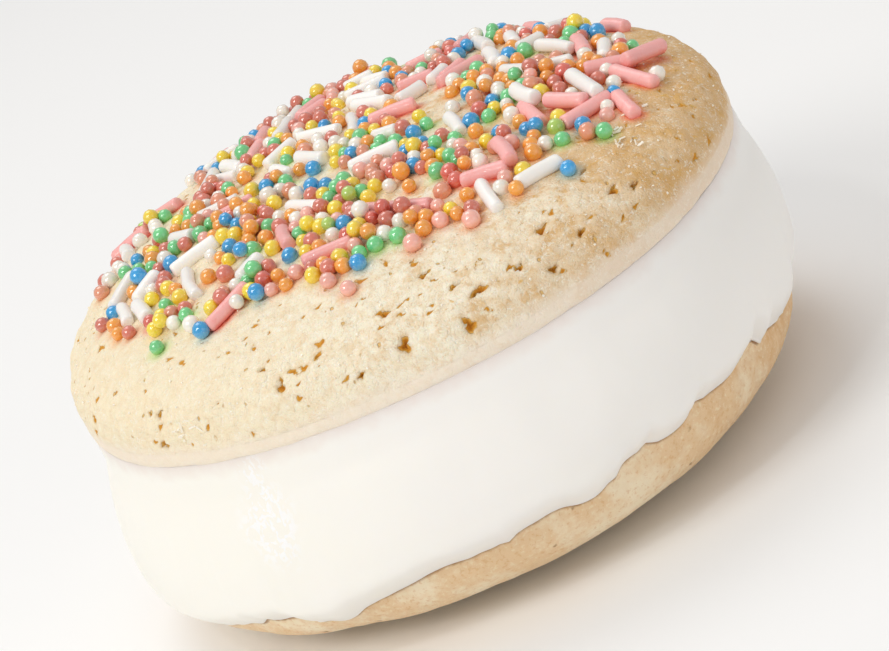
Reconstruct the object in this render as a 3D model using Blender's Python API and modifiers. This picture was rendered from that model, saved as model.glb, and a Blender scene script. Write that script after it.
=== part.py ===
"""Ice cream sandwich: two soft sugar cookies round a thick slab of vanilla ice cream.

The upper cookie lies crown up and is strewn with sugar pearls and sugar rods. The lower one
lies crown down, so the sandwich stands on the flat spot of its crown. The ice cream swells out
past both rims and laps over the lower cookie's shoulder in an uneven edge.
Metres, +Z up. The origin is on the floor, under the middle of the sandwich.
"""

import math
import random

import bmesh
import bpy
from mathutils import Matrix, Quaternion, Vector, noise

MM = 0.001

# Points round every turned piece, so that facing rings run side by side
STEPS = 60
GAP = 0.0003

# Upper cookie: the waist is its widest level
TOP_RADIUS = 0.0375
TOP_WAIST = 0.0291
TOP_CROWN = 0.0095
TOP_CROWN_FULLNESS = 2.7
TOP_HEEL = 0.0042
TOP_HEEL_WAVES = ((3, 0.12, -135),)
TOP_LEAN = Vector((0.020, 0.041))
TOP_CENTRE = Vector((0.0006, 0.0007))
TOP_WAVES = ((2, 0.017, -100), (3, 0.020, -84))
TOP_CROWN_RINGS = 10

# How many steps each point stands for, on the crown's rings from the middle out
CROWN_SPARING = {1: 6, 2: 3, 3: 3, 4: 3, 5: 2, 6: 2}

# Lower cookie, crown down
BASE_RADIUS = 0.0370
BASE_WAIST = 0.0100
BASE_SHOULDER = 0.0030
BASE_BELLY = 0.01035
BASE_BELLY_FULLNESS = 3.1
BASE_CENTRE = Vector((-0.0003, 0.0008))
BASE_WAVES = ((2, 0.005, -37), (5, 0.003, 20))
BASE_BELLY_RINGS = 7

# Both flat sides are rounded off the same way towards the rim
FLAT_FULLNESS = 4.0
FLAT_RINGS = 5

# Ice cream: how far it swells past the line between the two rims, how low the swelling sags,
# and its lapping edge
ICE_SWELL = 0.0019
ICE_SWELL_WAVES = ((1, 0.57, -106), (4, 0.06, 30))
ICE_SAG = 1.25
ICE_SAG_WAVES = ((1, 0.22, 180),)
ICE_BLUNTNESS = 0.6
ICE_SKIRT = 0.0011
ICE_SIDE_RINGS = 6
ICE_EDGE_ROUNDING = 0.0003
ICE_EDGE_LEVEL = 0.0084
ICE_EDGE_RISE = 0.0022
ICE_EDGE_HIGH_SIDE = 322

# Runs of the ice cream's edge: direction in degrees, half width in degrees, depth in metres.
# Where the depth is below zero the edge has a bay, and the lower cookie shows.
DRIPS = (
    (200, 21, 0.0016),
    (235, 5, 0.0018),
    (243, 9, 0.0010),
    (264, 9, 0.0008),
    (280, 5, 0.0015),
    (296, 5, 0.0010),
    (309, 6, 0.0007),
    (329, 7, 0.0016),
    (8, 8, 0.0008),
    (40, 9, 0.0014),
    (72, 8, -0.0013),
    (92, 6, 0.0009),
    (112, 10, -0.0022),
    (150, 12, -0.0014),
)

# Low lumps of the crown
LUMP_HEIGHT = 0.00035
LUMP_LENGTH = 0.011
LUMP_FADE = 6

# Open pits in the crown's side: direction in degrees, share of the crown's arc from the top,
# width along the rim, height up the side
PITS = (
    (-85, 0.91, 0.0018, 0.0024),
    (-95, 0.85, 0.0017, 0.0022),
    (-103, 0.90, 0.0010, 0.0009),
    (-81, 0.78, 0.0021, 0.0008),
    (-84, 0.70, 0.0011, 0.0006),
    (-70, 0.89, 0.0012, 0.0008),
    (-74, 0.79, 0.0010, 0.0006),
    (-67, 0.69, 0.0013, 0.0008),
    (-54, 0.76, 0.0015, 0.0010),
    (-53, 0.60, 0.0012, 0.0005),
    (-116, 0.80, 0.0012, 0.0019),
    (-141, 0.81, 0.0008, 0.0012),
    (-141, 0.97, 0.0010, 0.0008),
    (-96, 0.66, 0.0011, 0.0007),
    (-119, 0.70, 0.0012, 0.0006),
    (-63, 0.82, 0.0009, 0.0007),
    (-51, 0.81, 0.0008, 0.0006),
    (-87, 0.58, 0.0012, 0.0006),
    (35, 0.88, 0.0014, 0.0010),
    (96, 0.83, 0.0018, 0.0009),
    (121, 0.92, 0.0010, 0.0014),
    (163, 0.86, 0.0013, 0.0009),
)
PIT_DEPTH = 0.0012

# Sprinkles
SEED = 41
PEARL_SIZE = (0.00145, 0.00190)
ROD_SIZE = (0.00140, 0.00175)
ROD_LENGTH = (0.0030, 0.0058)
SUNK_SHARE = 0.20
PRESSED_SHARE = 0.90
CLEAR_OF_RODS = 0.80
BED_RADIUS = 0.0310
BED_DENT = 0.0070
BED_DENT_DIRECTION = -115
BED_DENT_WIDTH = 42
PATCH_LENGTH = 0.0075
PATCH_LIMIT = -0.16
SECOND_LAYER_PATCH_LIMIT = 0.04
LYING_RODS = 34
LYING_PEARLS = 330
UPPER_RODS = 16
UPPER_PEARLS = 150
TRIES_EACH = 40
BEAD_SPACING = 0.4
FUSED_SPRINKLES = 185
LEAST_GRIP = 0.0002

# How high a sprinkle may ride on others, as a share of its size, and the top of the whole heap
RIDING_SHARE = 0.5
HEAP_TOP = 0.0404

# Corners of a sprinkle's few faces stand a little past its true surface, and a rod's ends are blunt
CORNER_REACH = 1.08
ROD_SIDE_REACH = 1.15
ROD_END_REACH = 0.85

# Sprinkles placed by hand, by colour, in millimetres from the upper cookie's middle.
# A rod has x, y, length and heading in degrees, a pearl has x and y.
PLACED_RODS = {
    "pink": (
        (-17.4, -18.6, 5.8, 25), (-6.2, -20.6, 5.4, -15), (1.7, -18.6, 8.5, -43), (10.8, -21.5, 5.0, -18),
        (13.4, -20.4, 4.8, -87), (18.0, -13.1, 6.0, -85), (22.7, -16.8, 6.0, 22), (26.3, -18.3, 5.0, -85),
        (27.6, -8.4, 5.2, -15), (28.8, -12.8, 6.0, -60), (31.1, -9.4, 5.5, 31), (21.5, -14.3, 5.0, -47),
        (26.6, 0.4, 5.6, -93), (-9.5, -12.3, 4.6, -89), (14.1, 10.8, 4.0, 46), (10.1, 13.0, 4.2, -4),
        (31.3, 5.6, 3.5, -56),
    ),
    "white": (
        (10.0, -25.3, 5.6, -88), (15.3, -25.2, 5.0, 12), (24.0, -12.8, 6.6, -80), (-20.1, -9.3, 7.0, -88),
        (-18.9, -3.3, 5.6, 7), (-28.0, -4.5, 5.0, -87), (-26.0, -7.4, 5.0, -82), (-13.9, -14.4, 3.5, 35),
        (-6.5, -6.8, 5.4, -60), (-3.7, 5.3, 5.2, -61), (2.2, -4.4, 5.7, -14), (1.8, 8.4, 5.5, -97),
        (-5.1, 20.6, 5.1, 69), (-14.9, 18.4, 5.5, 72), (18.3, 8.4, 5.6, -92), (18.5, 16.1, 5.3, -83),
        (22.6, 7.6, 3.3, 24), (24.3, 2.3, 5.8, -63), (19.8, 0.3, 5.4, -55), (23.2, -2.8, 3.6, -20),
        (28.2, -3.5, 5.2, -103), (27.0, 12.8, 4.8, 32), (18.5, -9.5, 5.0, -76), (8.9, 8.8, 3.6, 24),
        (10.9, -6.6, 5.6, -88),
    ),
}
PLACED_PEARLS = {
    "green": (
        (-25.7, -16.1), (0.5, -24.4), (19.0, -21.0), (22.9, -22.2), (-26.8, 6.2), (-25.2, 3.7), (-23.7, 1.8),
        (-23.4, -10.0), (-10.6, -7.0), (-13.0, -10.6), (-3.8, -8.8), (16.3, 7.0), (14.9, 5.6), (18.9, -5.0),
        (17.1, -5.8), (14.3, -8.5), (8.5, -2.9), (9.2, -16.0), (30.9, -4.4),
    ),
    "lime": ((19.5, -18.0),),
    "yellow": (
        (-14.7, -19.0), (-21.7, -10.8), (-15.7, -9.5), (-14.1, -4.4), (-8.0, -15.6), (-5.8, -14.9),
        (-3.7, -12.3), (-11.1, -13.1), (-1.1, -8.6), (0.8, -11.9), (14.3, 2.0), (19.8, -9.0), (8.3, 0.4),
        (-24.7, -6.2),
    ),
    "blue": (
        (-20.3, -19.8), (-9.8, -17.1), (17.9, -26.4), (-29.2, -1.7), (-21.5, -1.3), (-14.1, -10.8),
        (-21.9, 10.3), (-4.0, 1.9), (-3.5, -4.2), (-4.9, -2.6), (28.3, 5.9), (29.2, 4.1), (15.5, -4.9),
        (12.5, -7.9), (14.2, -14.5), (5.2, -12.1), (7.3, -11.2), (5.3, -7.2),
    ),
    "orange": (
        (-11.3, -21.7), (-7.1, -22.4), (3.7, -23.5), (6.5, -25.5), (12.6, -26.5), (-26.3, -1.1), (-23.6, 7.3),
        (-18.6, 6.5), (-16.3, -1.4), (-18.2, -10.7), (3.8, -15.9), (3.8, -12.9), (12.3, -11.1),
        (10.9, -15.6), (6.8, -14.7), (16.1, -19.8),
    ),
    "coral": (
        (-2.0, -15.9), (0.3, -20.5), (-23.0, -5.1), (-21.6, -13.3), (-12.2, -16.5), (-16.5, -12.4),
        (-5.3, -5.0), (9.2, -8.1), (21.8, -10.3), (15.9, -0.3),
    ),
    "red": ((-4.1, -20.5), (8.7, -20.5)),
    "salmon": (
        (-12.8, -20.9), (-9.9, -20.9), (-7.4, -25.6), (-6.0, -28.3), (4.8, -25.3), (7.4, -27.7), (1.4, -26.9),
        (24.1, -19.3), (-8.4, -11.4), (0.3, -6.0), (10.2, -13.3), (14.4, -18.0),
    ),
    "white": (
        (-21.5, -17.2), (-23.2, -14.4), (11.4, -25.1), (17.4, -20.5), (30.9, -13.4), (32.4, -6.8),
        (-17.2, -5.9), (-8.0, 0.9), (-6.7, -2.3), (2.1, -13.6), (-5.1, -17.8), (11.7, -1.8), (0.1, 4.2),
    ),
}

SUGAR_COOKIE = (0.80, 0.62, 0.36)
LOWER_COOKIE = (0.74, 0.55, 0.31)
VANILLA = (0.93, 0.90, 0.83)


def wave(waves, angle):
    """How far an outline departs from round at an angle, as a share of its radius."""
    total = 0.0
    for count, size, direction in waves:
        total += size * math.cos(count * angle - math.radians(direction))
    return total


def rim(radius, centre, waves, angle):
    """A cookie's radius at an angle, measured from the origin."""
    offset = centre.dot(Vector((math.cos(angle), math.sin(angle))))
    return offset + radius * (1 + wave(waves, angle))


def top_radius(angle):
    return rim(TOP_RADIUS, TOP_CENTRE, TOP_WAVES, angle)


def base_radius(angle):
    return rim(BASE_RADIUS, BASE_CENTRE, BASE_WAVES, angle)


def dome(share, rise, fullness):
    """Height over the waist of a rounded form, at a share of its radius."""
    return rise * max(0.0, 1 - share**fullness) ** (1 / fullness)


def arc_shares(rings, fullness):
    """Shares of the radius for rings spread along a dome, from its middle to its waist."""
    turns = [math.pi / 2 * ring / rings for ring in range(rings + 1)]
    return [math.sin(turn) ** (2 / fullness) for turn in turns]


FLAT_SHARES = arc_shares(FLAT_RINGS, FLAT_FULLNESS)
CROWN_SHARES = arc_shares(TOP_CROWN_RINGS, TOP_CROWN_FULLNESS)
BELLY_SHARES = arc_shares(BASE_BELLY_RINGS, BASE_BELLY_FULLNESS)


def top_lean(radius, angle):
    return TOP_LEAN.dot(Vector((math.cos(angle), math.sin(angle)))) * radius


def crown_height(share, angle):
    """The upper cookie's crown, lumps and lean included."""
    radius = share * top_radius(angle)
    place = Vector((radius * math.cos(angle), radius * math.sin(angle), 0)) / LUMP_LENGTH
    lump = LUMP_HEIGHT * noise.noise(place) * (1 - share**LUMP_FADE)
    rise = dome(share, TOP_CROWN, TOP_CROWN_FULLNESS)
    return TOP_WAIST + rise + lump + top_lean(radius, angle)


def heel_height(share, angle):
    """The upper cookie's flat underside."""
    radius = share * top_radius(angle)
    depth = TOP_HEEL * (1 + wave(TOP_HEEL_WAVES, angle) * share)
    return TOP_WAIST - dome(share, depth, FLAT_FULLNESS) + top_lean(radius, angle)


def shoulder_height(share):
    """The lower cookie's flat side, which is turned up."""
    return BASE_WAIST + dome(share, BASE_SHOULDER, FLAT_FULLNESS)


def belly_height(share):
    """The lower cookie's crown, turned down and settled flat where it meets the floor."""
    return max(0.0, BASE_WAIST - dome(share, BASE_BELLY, BASE_BELLY_FULLNESS))


def belly_share(height):
    """The share of the lower cookie's radius at a height below its waist."""
    drop = max(0.0, BASE_WAIST - height) / BASE_BELLY
    return (1 - drop**BASE_BELLY_FULLNESS) ** (1 / BASE_BELLY_FULLNESS)


def top_section(angle):
    """The upper cookie's outline in one upright half plane, from its crown down to its heel."""
    reach = top_radius(angle)
    section = [(share * reach, crown_height(share, angle)) for share in CROWN_SHARES]
    for share in reversed(FLAT_SHARES[:-1]):
        section.append((share * reach, heel_height(share, angle)))
    return section


def base_section(angle):
    reach = base_radius(angle)
    section = [(share * reach, shoulder_height(share)) for share in FLAT_SHARES]
    for share in reversed(BELLY_SHARES[:-1]):
        section.append((share * reach, belly_height(share)))
    return section


def edge_height(angle):
    """The level of the ice cream's lapping edge."""
    high_side = math.radians(ICE_EDGE_HIGH_SIDE)
    height = ICE_EDGE_LEVEL + ICE_EDGE_RISE * math.cos(angle - high_side)
    for direction, half_width, depth in DRIPS:
        away = math.degrees(angle) - direction
        away = (away + 180) % 360 - 180
        height -= depth * math.exp(-((away / half_width) ** 2))
    return height


def ice_section(angle):
    """The ice cream's outline: under the heel, out and down the side, and back over the shoulder."""
    heel, shoulder = top_radius(angle), base_radius(angle)
    section = [(share * heel, heel_height(share, angle) - GAP) for share in FLAT_SHARES[:-1]]
    lip_radius, lip_height = section[-1]
    edge = edge_height(angle)
    edge_radius = shoulder * belly_share(edge) + GAP + ICE_SKIRT
    swell = ICE_SWELL * (1 + wave(ICE_SWELL_WAVES, angle))
    sag = ICE_SAG * (1 + wave(ICE_SAG_WAVES, angle))
    for ring in range(1, ICE_SIDE_RINGS + 1):
        fall = ring / (ICE_SIDE_RINGS + 1)
        straight = lip_radius + (edge_radius - lip_radius) * fall
        bulge = swell * math.sin(math.pi * fall**sag) ** ICE_BLUNTNESS
        section.append((straight + bulge, lip_height + (edge - lip_height) * fall))
    section.append((edge_radius - ICE_SKIRT / 2, edge))
    for height in (edge + ICE_EDGE_ROUNDING, (edge + BASE_WAIST) / 2, BASE_WAIST):
        section.append((shoulder * belly_share(height) + GAP, height))
    for share in reversed(FLAT_SHARES[:-1]):
        section.append((share * shoulder, shoulder_height(share) + GAP))
    return section


def new_material(name, colour, roughness):
    material = bpy.data.materials.new(name)
    material.use_nodes = True
    shader = material.node_tree.nodes["Principled BSDF"]
    shader.inputs["Base Color"].default_value = (*colour, 1)
    shader.inputs["Roughness"].default_value = roughness
    shader.inputs["Metallic"].default_value = 0
    return material


def applied(piece):
    """The object with its modifiers applied."""
    graph = bpy.context.evaluated_depsgraph_get()
    mesh = bpy.data.meshes.new_from_object(piece.evaluated_get(graph))
    old = piece.data
    piece.modifiers.clear()
    piece.data = mesh
    bpy.data.meshes.remove(old)
    return piece


def turned(name, section, collection):
    """A profile turned about Z, each of its points then moved to the section at its own angle."""
    mesh = bpy.data.meshes.new(name)
    profile = section(0.0)
    shape = bmesh.new()
    ring_of = shape.verts.layers.int.new("ring")
    points = []
    for ring, (radius, height) in enumerate(profile):
        point = shape.verts.new((radius, 0, height))
        point[ring_of] = ring
        points.append(point)
    for first, second in zip(points, points[1:]):
        shape.edges.new((first, second))
    shape.to_mesh(mesh)
    shape.free()

    piece = bpy.data.objects.new(name, mesh)
    collection.objects.link(piece)
    screw = piece.modifiers.new("Turn", "SCREW")
    screw.axis = "Z"
    screw.steps = STEPS
    screw.render_steps = STEPS
    screw.use_merge_vertices = True
    screw.merge_threshold = 0.00001
    applied(piece)

    shape = bmesh.new()
    shape.from_mesh(piece.data)
    ring_of = shape.verts.layers.int["ring"]
    for point in shape.verts:
        angle = math.atan2(point.co.y, point.co.x)
        radius, height = section(angle)[point[ring_of]]
        point.co = (radius * math.cos(angle), radius * math.sin(angle), height)
    shape.to_mesh(piece.data)
    shape.free()
    return piece


def thin_out_crown(cookie):
    """Merges points of the crown's inner rings, whose faces would otherwise be slivers."""
    shape = bmesh.new()
    shape.from_mesh(cookie.data)
    ring_of = shape.verts.layers.int["ring"]
    kept, merged = {}, {}
    for point in shape.verts:
        sparing = CROWN_SPARING.get(point[ring_of])
        if not sparing:
            continue
        step = round(math.atan2(point.co.y, point.co.x) / math.tau * STEPS) % STEPS
        place = (point[ring_of], step // sparing)
        if step % sparing:
            merged[point] = place
        else:
            kept[place] = point
    targets = {point: kept[place] for point, place in merged.items()}
    bmesh.ops.weld_verts(shape, targetmap=targets)
    shape.to_mesh(cookie.data)
    shape.free()


def crown_point(x, y):
    """The height of the crown over a point of the plan."""
    angle = math.atan2(y, x)
    return crown_height(min(1.0, math.hypot(x, y) / top_radius(angle)), angle)


def pit_cutter(direction, share, width, height, collection):
    """A blob set into the side of the crown."""
    angle = math.radians(direction)
    turn = share * math.pi / 2
    place = math.sin(turn) ** (2 / TOP_CROWN_FULLNESS)
    radius = place * top_radius(angle)
    outward = Vector((math.cos(angle), math.sin(angle), 0))
    centre = outward * radius + Vector((0, 0, crown_height(place, angle)))
    lean = Matrix.Rotation(math.pi / 2 * (1 - share), 4, "Y")
    matrix = Matrix.Translation(centre) @ Matrix.Rotation(angle, 4, "Z") @ lean.inverted()
    matrix = matrix @ Matrix.Diagonal((PIT_DEPTH, width / 2, height / 2, 1))
    mesh = bpy.data.meshes.new("pit")
    shape = bmesh.new()
    bmesh.ops.create_uvsphere(shape, u_segments=7, v_segments=5, radius=1, matrix=matrix)
    shape.to_mesh(mesh)
    shape.free()
    cutter = bpy.data.objects.new("pit", mesh)
    cutter.hide_render = True
    cutter.display_type = "WIRE"
    collection.objects.link(cutter)


def bed_radius(angle):
    """How far out the sprinkles lie: their bed has a bare dent at the front."""
    away = (math.degrees(angle) - BED_DENT_DIRECTION + 180) % 360 - 180
    return BED_RADIUS - BED_DENT * math.exp(-((away / BED_DENT_WIDTH) ** 2))


def beads_of(x, y, length, heading, size):
    """Plan points along a sprinkle, close enough to stand for it in a contact test."""
    straight = max(0.0, length - size)
    count = 1 + math.ceil(straight / (size * BEAD_SPACING))
    along = Vector((math.cos(heading), math.sin(heading)))
    shares = [0.0] if count == 1 else [bead / (count - 1) - 0.5 for bead in range(count)]
    return [Vector((x, y)) + along * straight * share for share in shares]


def lift_over(lying, beads, size):
    """How much higher than the crown a sprinkle has to lie to rest on those under it."""
    rests = [crown_point(bead.x, bead.y) + size * (0.5 - SUNK_SHARE) for bead in beads]
    span = (beads[-1] - beads[0]).length
    lift = 0.0
    for other in lying:
        reach = (size + other["size"]) / 2 * PRESSED_SHARE
        if (beads[0] - other["beads"][0].xy).length > reach + span + other["length"]:
            continue
        for bead, rest in zip(beads, rests):
            for centre in other["beads"]:
                apart = (bead - centre.xy).length
                if apart < reach:
                    lift = max(lift, centre.z + math.sqrt(reach**2 - apart**2) - rest)
    return lift


def lay(lying, x, y, length, heading, size, lift):
    rest = size * (0.5 - SUNK_SHARE) + lift
    beads = []
    for bead in beads_of(x, y, length, heading, size):
        beads.append(Vector((bead.x, bead.y, crown_point(bead.x, bead.y) + rest)))
    grip = size * SUNK_SHARE - lift
    lying.append({"size": size, "length": length, "beads": beads, "grip": grip})


def beside_rods(lying, x, y, size):
    """A placed pearl's point, pushed aside where a rod lies."""
    here = Vector((x, y))
    for other in lying:
        if not other["length"]:
            continue
        nearest = min(other["beads"], key=lambda bead: (here - bead.xy).length)
        away = here - nearest.xy
        reach = (size + other["size"]) / 2 * PRESSED_SHARE
        if away.length < reach:
            here = nearest.xy + away.normalized() * reach
    return here.x, here.y


def hides_rod(lying, x, y, size):
    """Whether a pearl over a point of the plan would hide a rod."""
    here = Vector((x, y))
    for other in lying:
        reach = (size + other["size"]) / 2 * CLEAR_OF_RODS
        if other["length"] and any((here - bead.xy).length < reach for bead in other["beads"]):
            return True
    return False


def lay_placed(draw, lying, x, y, length, heading):
    size = draw.uniform(*(ROD_SIZE if length else PEARL_SIZE))
    x, y = x * MM + TOP_CENTRE.x, y * MM + TOP_CENTRE.y
    length, heading = length * MM, math.radians(heading)
    if not length:
        x, y = beside_rods(lying, x, y, size)
    lift = lift_over(lying, beads_of(x, y, length, heading, size), size)
    lay(lying, x, y, length, heading, size, min(lift, size * RIDING_SHARE))


def random_spot(draw):
    """A point of the sprinkles' bed, and how closely the sprinkles lie there."""
    angle = draw.uniform(-math.pi, math.pi)
    radius = bed_radius(angle) * math.sqrt(draw.random())
    x, y = radius * math.cos(angle), radius * math.sin(angle)
    patch = noise.noise(Vector((x, y, 0)) / PATCH_LENGTH)
    return x, y, patch


def rides_well(x, y, size, lift):
    """Whether a sprinkle lies low enough on the others, and under the heap's top."""
    top = crown_point(x, y) + size * (1 - SUNK_SHARE) + lift
    return 0 < lift < size * RIDING_SHARE and top < HEAP_TOP


def scatter(draw, lying, wanted, rods, second_layer):
    """Strews sprinkles one by one, each on the crown or on those that already lie there."""
    patch_limit = SECOND_LAYER_PATCH_LIMIT if second_layer else PATCH_LIMIT
    laid = 0
    for _ in range(wanted * TRIES_EACH):
        if laid == wanted:
            return
        x, y, patch = random_spot(draw)
        heading = draw.uniform(0, math.pi)
        size = draw.uniform(*(ROD_SIZE if rods else PEARL_SIZE))
        length = draw.uniform(*ROD_LENGTH) if rods else 0.0
        if patch < patch_limit:
            continue
        lift = lift_over(lying, beads_of(x, y, length, heading, size), size)
        fits = rides_well(x, y, size, lift) if second_layer else lift == 0
        if fits and (rods or not hides_rod(lying, x, y, size)):
            lay(lying, x, y, length, heading, size, lift)
            laid += 1


def all_sprinkles():
    """Every sprinkle, in the order in which it falls."""
    draw = random.Random(SEED)
    lying = []
    for rods in PLACED_RODS.values():
        for x, y, length, heading in rods:
            lay_placed(draw, lying, x, y, length, heading)
    for pearls in PLACED_PEARLS.values():
        for x, y in pearls:
            lay_placed(draw, lying, x, y, 0, 0)
    scatter(draw, lying, LYING_RODS, rods=True, second_layer=False)
    scatter(draw, lying, LYING_PEARLS, rods=False, second_layer=False)
    scatter(draw, lying, UPPER_RODS, rods=True, second_layer=True)
    scatter(draw, lying, UPPER_PEARLS, rods=False, second_layer=True)
    return lying


def sprinkle_solid(sprinkle, collection):
    """A pearl of twenty faces, or a six-sided rod: a ball whose halves are drawn apart."""
    first, last = sprinkle["beads"][0], sprinkle["beads"][-1]
    span = last - first
    radius = sprinkle["size"] / 2 * CORNER_REACH
    mesh = bpy.data.meshes.new("sprinkle")
    shape = bmesh.new()
    if span.length > 0:
        ball = Matrix.Diagonal((ROD_SIDE_REACH, ROD_SIDE_REACH, ROD_END_REACH, 1))
        bmesh.ops.create_uvsphere(shape, u_segments=6, v_segments=3, radius=radius, matrix=ball)
        for point in shape.verts:
            point.co.z += math.copysign(span.length / 2, point.co.z)
    else:
        bmesh.ops.create_icosphere(shape, subdivisions=1, radius=radius)
    shape.to_mesh(mesh)
    shape.free()
    piece = bpy.data.objects.new("sprinkle", mesh)
    turn = span.to_track_quat("Z", "Y") if span.length > 0 else Quaternion()
    piece.matrix_world = Matrix.Translation((first + last) / 2) @ turn.to_matrix().to_4x4()
    collection.objects.link(piece)


def largest_fused():
    """The largest sprinkles that are well sunk into the crown."""
    lying = [sprinkle for sprinkle in all_sprinkles() if sprinkle["grip"] > LEAST_GRIP]
    lying.sort(key=lambda sprinkle: -sprinkle["size"] - sprinkle["length"])
    return lying[:FUSED_SPRINKLES]


def boolean(piece, operation, helpers):
    """Joins a collection to the piece, or cuts it from the piece, and removes the collection."""
    modifier = piece.modifiers.new(operation.title(), "BOOLEAN")
    modifier.operation = operation
    modifier.operand_type = "COLLECTION"
    modifier.collection = helpers
    applied(piece)
    for helper in list(helpers.objects):
        mesh = helper.data
        bpy.data.objects.remove(helper)
        bpy.data.meshes.remove(mesh)
    bpy.data.collections.remove(helpers)


def shells_of(shape):
    """The connected groups of a mesh's faces."""
    left = set(shape.faces)
    shells = []
    while left:
        shell, open_faces = set(), [left.pop()]
        while open_faces:
            face = open_faces.pop()
            shell.add(face)
            for edge in face.edges:
                for neighbour in edge.link_faces:
                    if neighbour in left:
                        left.remove(neighbour)
                        open_faces.append(neighbour)
        shells.append(shell)
    return shells


def keep_main_shell(piece):
    """Drops loose scraps and fills sealed hollows, which joining many small solids can leave."""
    shape = bmesh.new()
    shape.from_mesh(piece.data)
    shells = sorted(shells_of(shape), key=len)
    extra = [face for shell in shells[:-1] for face in shell]
    bmesh.ops.delete(shape, geom=extra, context="FACES")
    shape.to_mesh(piece.data)
    shape.free()


def helper_collection(name):
    helpers = bpy.data.collections.new(name)
    bpy.context.scene.collection.children.link(helpers)
    helpers.hide_render = True
    return helpers


def finish(piece, material):
    piece.data.materials.clear()
    piece.data.materials.append(material)
    piece.data.shade_smooth()
    piece.data.set_sharp_from_angle(angle=math.radians(50))


def make_top_cookie(parts):
    cookie = turned("top_cookie", top_section, parts)
    thin_out_crown(cookie)
    pits = helper_collection("pits")
    for direction, share, width, height in PITS:
        pit_cutter(direction, share, width, height, pits)
    boolean(cookie, "DIFFERENCE", pits)
    sprinkles = helper_collection("sprinkles")
    for sprinkle in largest_fused():
        sprinkle_solid(sprinkle, sprinkles)
    boolean(cookie, "UNION", sprinkles)
    keep_main_shell(cookie)
    finish(cookie, new_material("sugar_cookie", SUGAR_COOKIE, 0.75))


def make_ice_cream(parts):
    ice = turned("ice_cream", ice_section, parts)
    finish(ice, new_material("vanilla_ice_cream", VANILLA, 0.35))


def make_bottom_cookie(parts):
    cookie = turned("bottom_cookie", base_section, parts)
    finish(cookie, new_material("lower_cookie", LOWER_COOKIE, 0.8))


def main():
    for piece in list(bpy.data.objects):
        bpy.data.objects.remove(piece)
    parts = bpy.data.collections.new("ice_cream_sandwich")
    bpy.context.scene.collection.children.link(parts)
    make_bottom_cookie(parts)
    make_ice_cream(parts)
    make_top_cookie(parts)


main()
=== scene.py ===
"""Looks of the ice cream sandwich: baked skins, melting ice cream, sprinkles, light and camera."""

import math
import random

import bpy
import numpy as np
from mathutils import Matrix, Vector, kdtree, noise


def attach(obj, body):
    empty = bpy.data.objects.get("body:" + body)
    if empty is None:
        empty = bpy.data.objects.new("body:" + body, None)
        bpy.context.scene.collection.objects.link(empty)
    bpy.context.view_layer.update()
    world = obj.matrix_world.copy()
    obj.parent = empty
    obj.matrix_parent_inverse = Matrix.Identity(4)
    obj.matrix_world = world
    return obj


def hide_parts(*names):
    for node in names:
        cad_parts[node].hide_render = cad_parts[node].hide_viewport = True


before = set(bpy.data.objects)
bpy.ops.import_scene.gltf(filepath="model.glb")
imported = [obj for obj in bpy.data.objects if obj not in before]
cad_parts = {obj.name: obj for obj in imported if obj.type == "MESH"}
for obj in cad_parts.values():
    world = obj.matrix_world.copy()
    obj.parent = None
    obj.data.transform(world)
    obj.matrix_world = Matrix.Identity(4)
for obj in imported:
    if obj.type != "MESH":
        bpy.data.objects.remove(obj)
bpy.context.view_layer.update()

MM = 0.001

# Camera: the photograph's size and focal length in pixels, and the pixel where the target shows
PHOTO_SIZE = Vector((889, 651))
PHOTO_FOCAL = 2820
PHOTO_TARGET = Vector((426.6, 330.1))
CAMERA_TARGET = Vector((-0.6, 0.75, 18)) * MM
CAMERA_DISTANCE = 0.3
CAMERA_ELEVATION = math.radians(20.09)
CAMERA_ROLL = math.radians(27.31)
SENSOR_WIDTH = 36
CLIP_RANGE = (0.01, 10)

# Upper cookie, in metres as all sizes below
GAP = 0.0003
TOP_RADIUS = 0.0375
TOP_WAIST = 0.0291
TOP_CROWN = 0.0095
TOP_CROWN_FULLNESS = 2.7
TOP_HEEL = 0.0042
TOP_HEEL_WAVES = ((3, 0.12, -135),)
TOP_LEAN = Vector((0.020, 0.041))
TOP_CENTRE = Vector((0.0006, 0.0007))
TOP_WAVES = ((2, 0.017, -100), (3, 0.020, -84))

# Lower cookie, crown down
BASE_RADIUS = 0.0370
BASE_WAIST = 0.0100
BASE_SHOULDER = 0.0030
BASE_BELLY = 0.01035
BASE_BELLY_FULLNESS = 3.1
BASE_CENTRE = Vector((-0.0003, 0.0008))
BASE_WAVES = ((2, 0.005, -37), (5, 0.003, 20))

# Both flat sides are rounded off the same way towards the rim
FLAT_FULLNESS = 4.0

# Ice cream
ICE_SWELL = 0.0019
ICE_SWELL_WAVES = ((1, 0.57, -106), (4, 0.06, 30))
ICE_SAG = 1.25
ICE_SAG_WAVES = ((1, 0.22, 180),)
ICE_BLUNTNESS = 0.6
ICE_SKIRT = 0.0011
ICE_SIDE_RINGS = 6
ICE_EDGE_LEVEL = 0.0084
ICE_EDGE_RISE = 0.0022
ICE_EDGE_HIGH_SIDE = 322

# Runs of the ice cream's edge: direction and half width in degrees, depth in metres
DRIPS = (
    (200, 21, 0.0016),
    (235, 5, 0.0018),
    (243, 9, 0.0010),
    (264, 9, 0.0008),
    (280, 5, 0.0015),
    (296, 5, 0.0010),
    (309, 6, 0.0007),
    (329, 7, 0.0016),
    (8, 8, 0.0008),
    (40, 9, 0.0014),
    (72, 8, -0.0013),
    (92, 6, 0.0009),
    (112, 10, -0.0022),
    (150, 12, -0.0014),
)

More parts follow.
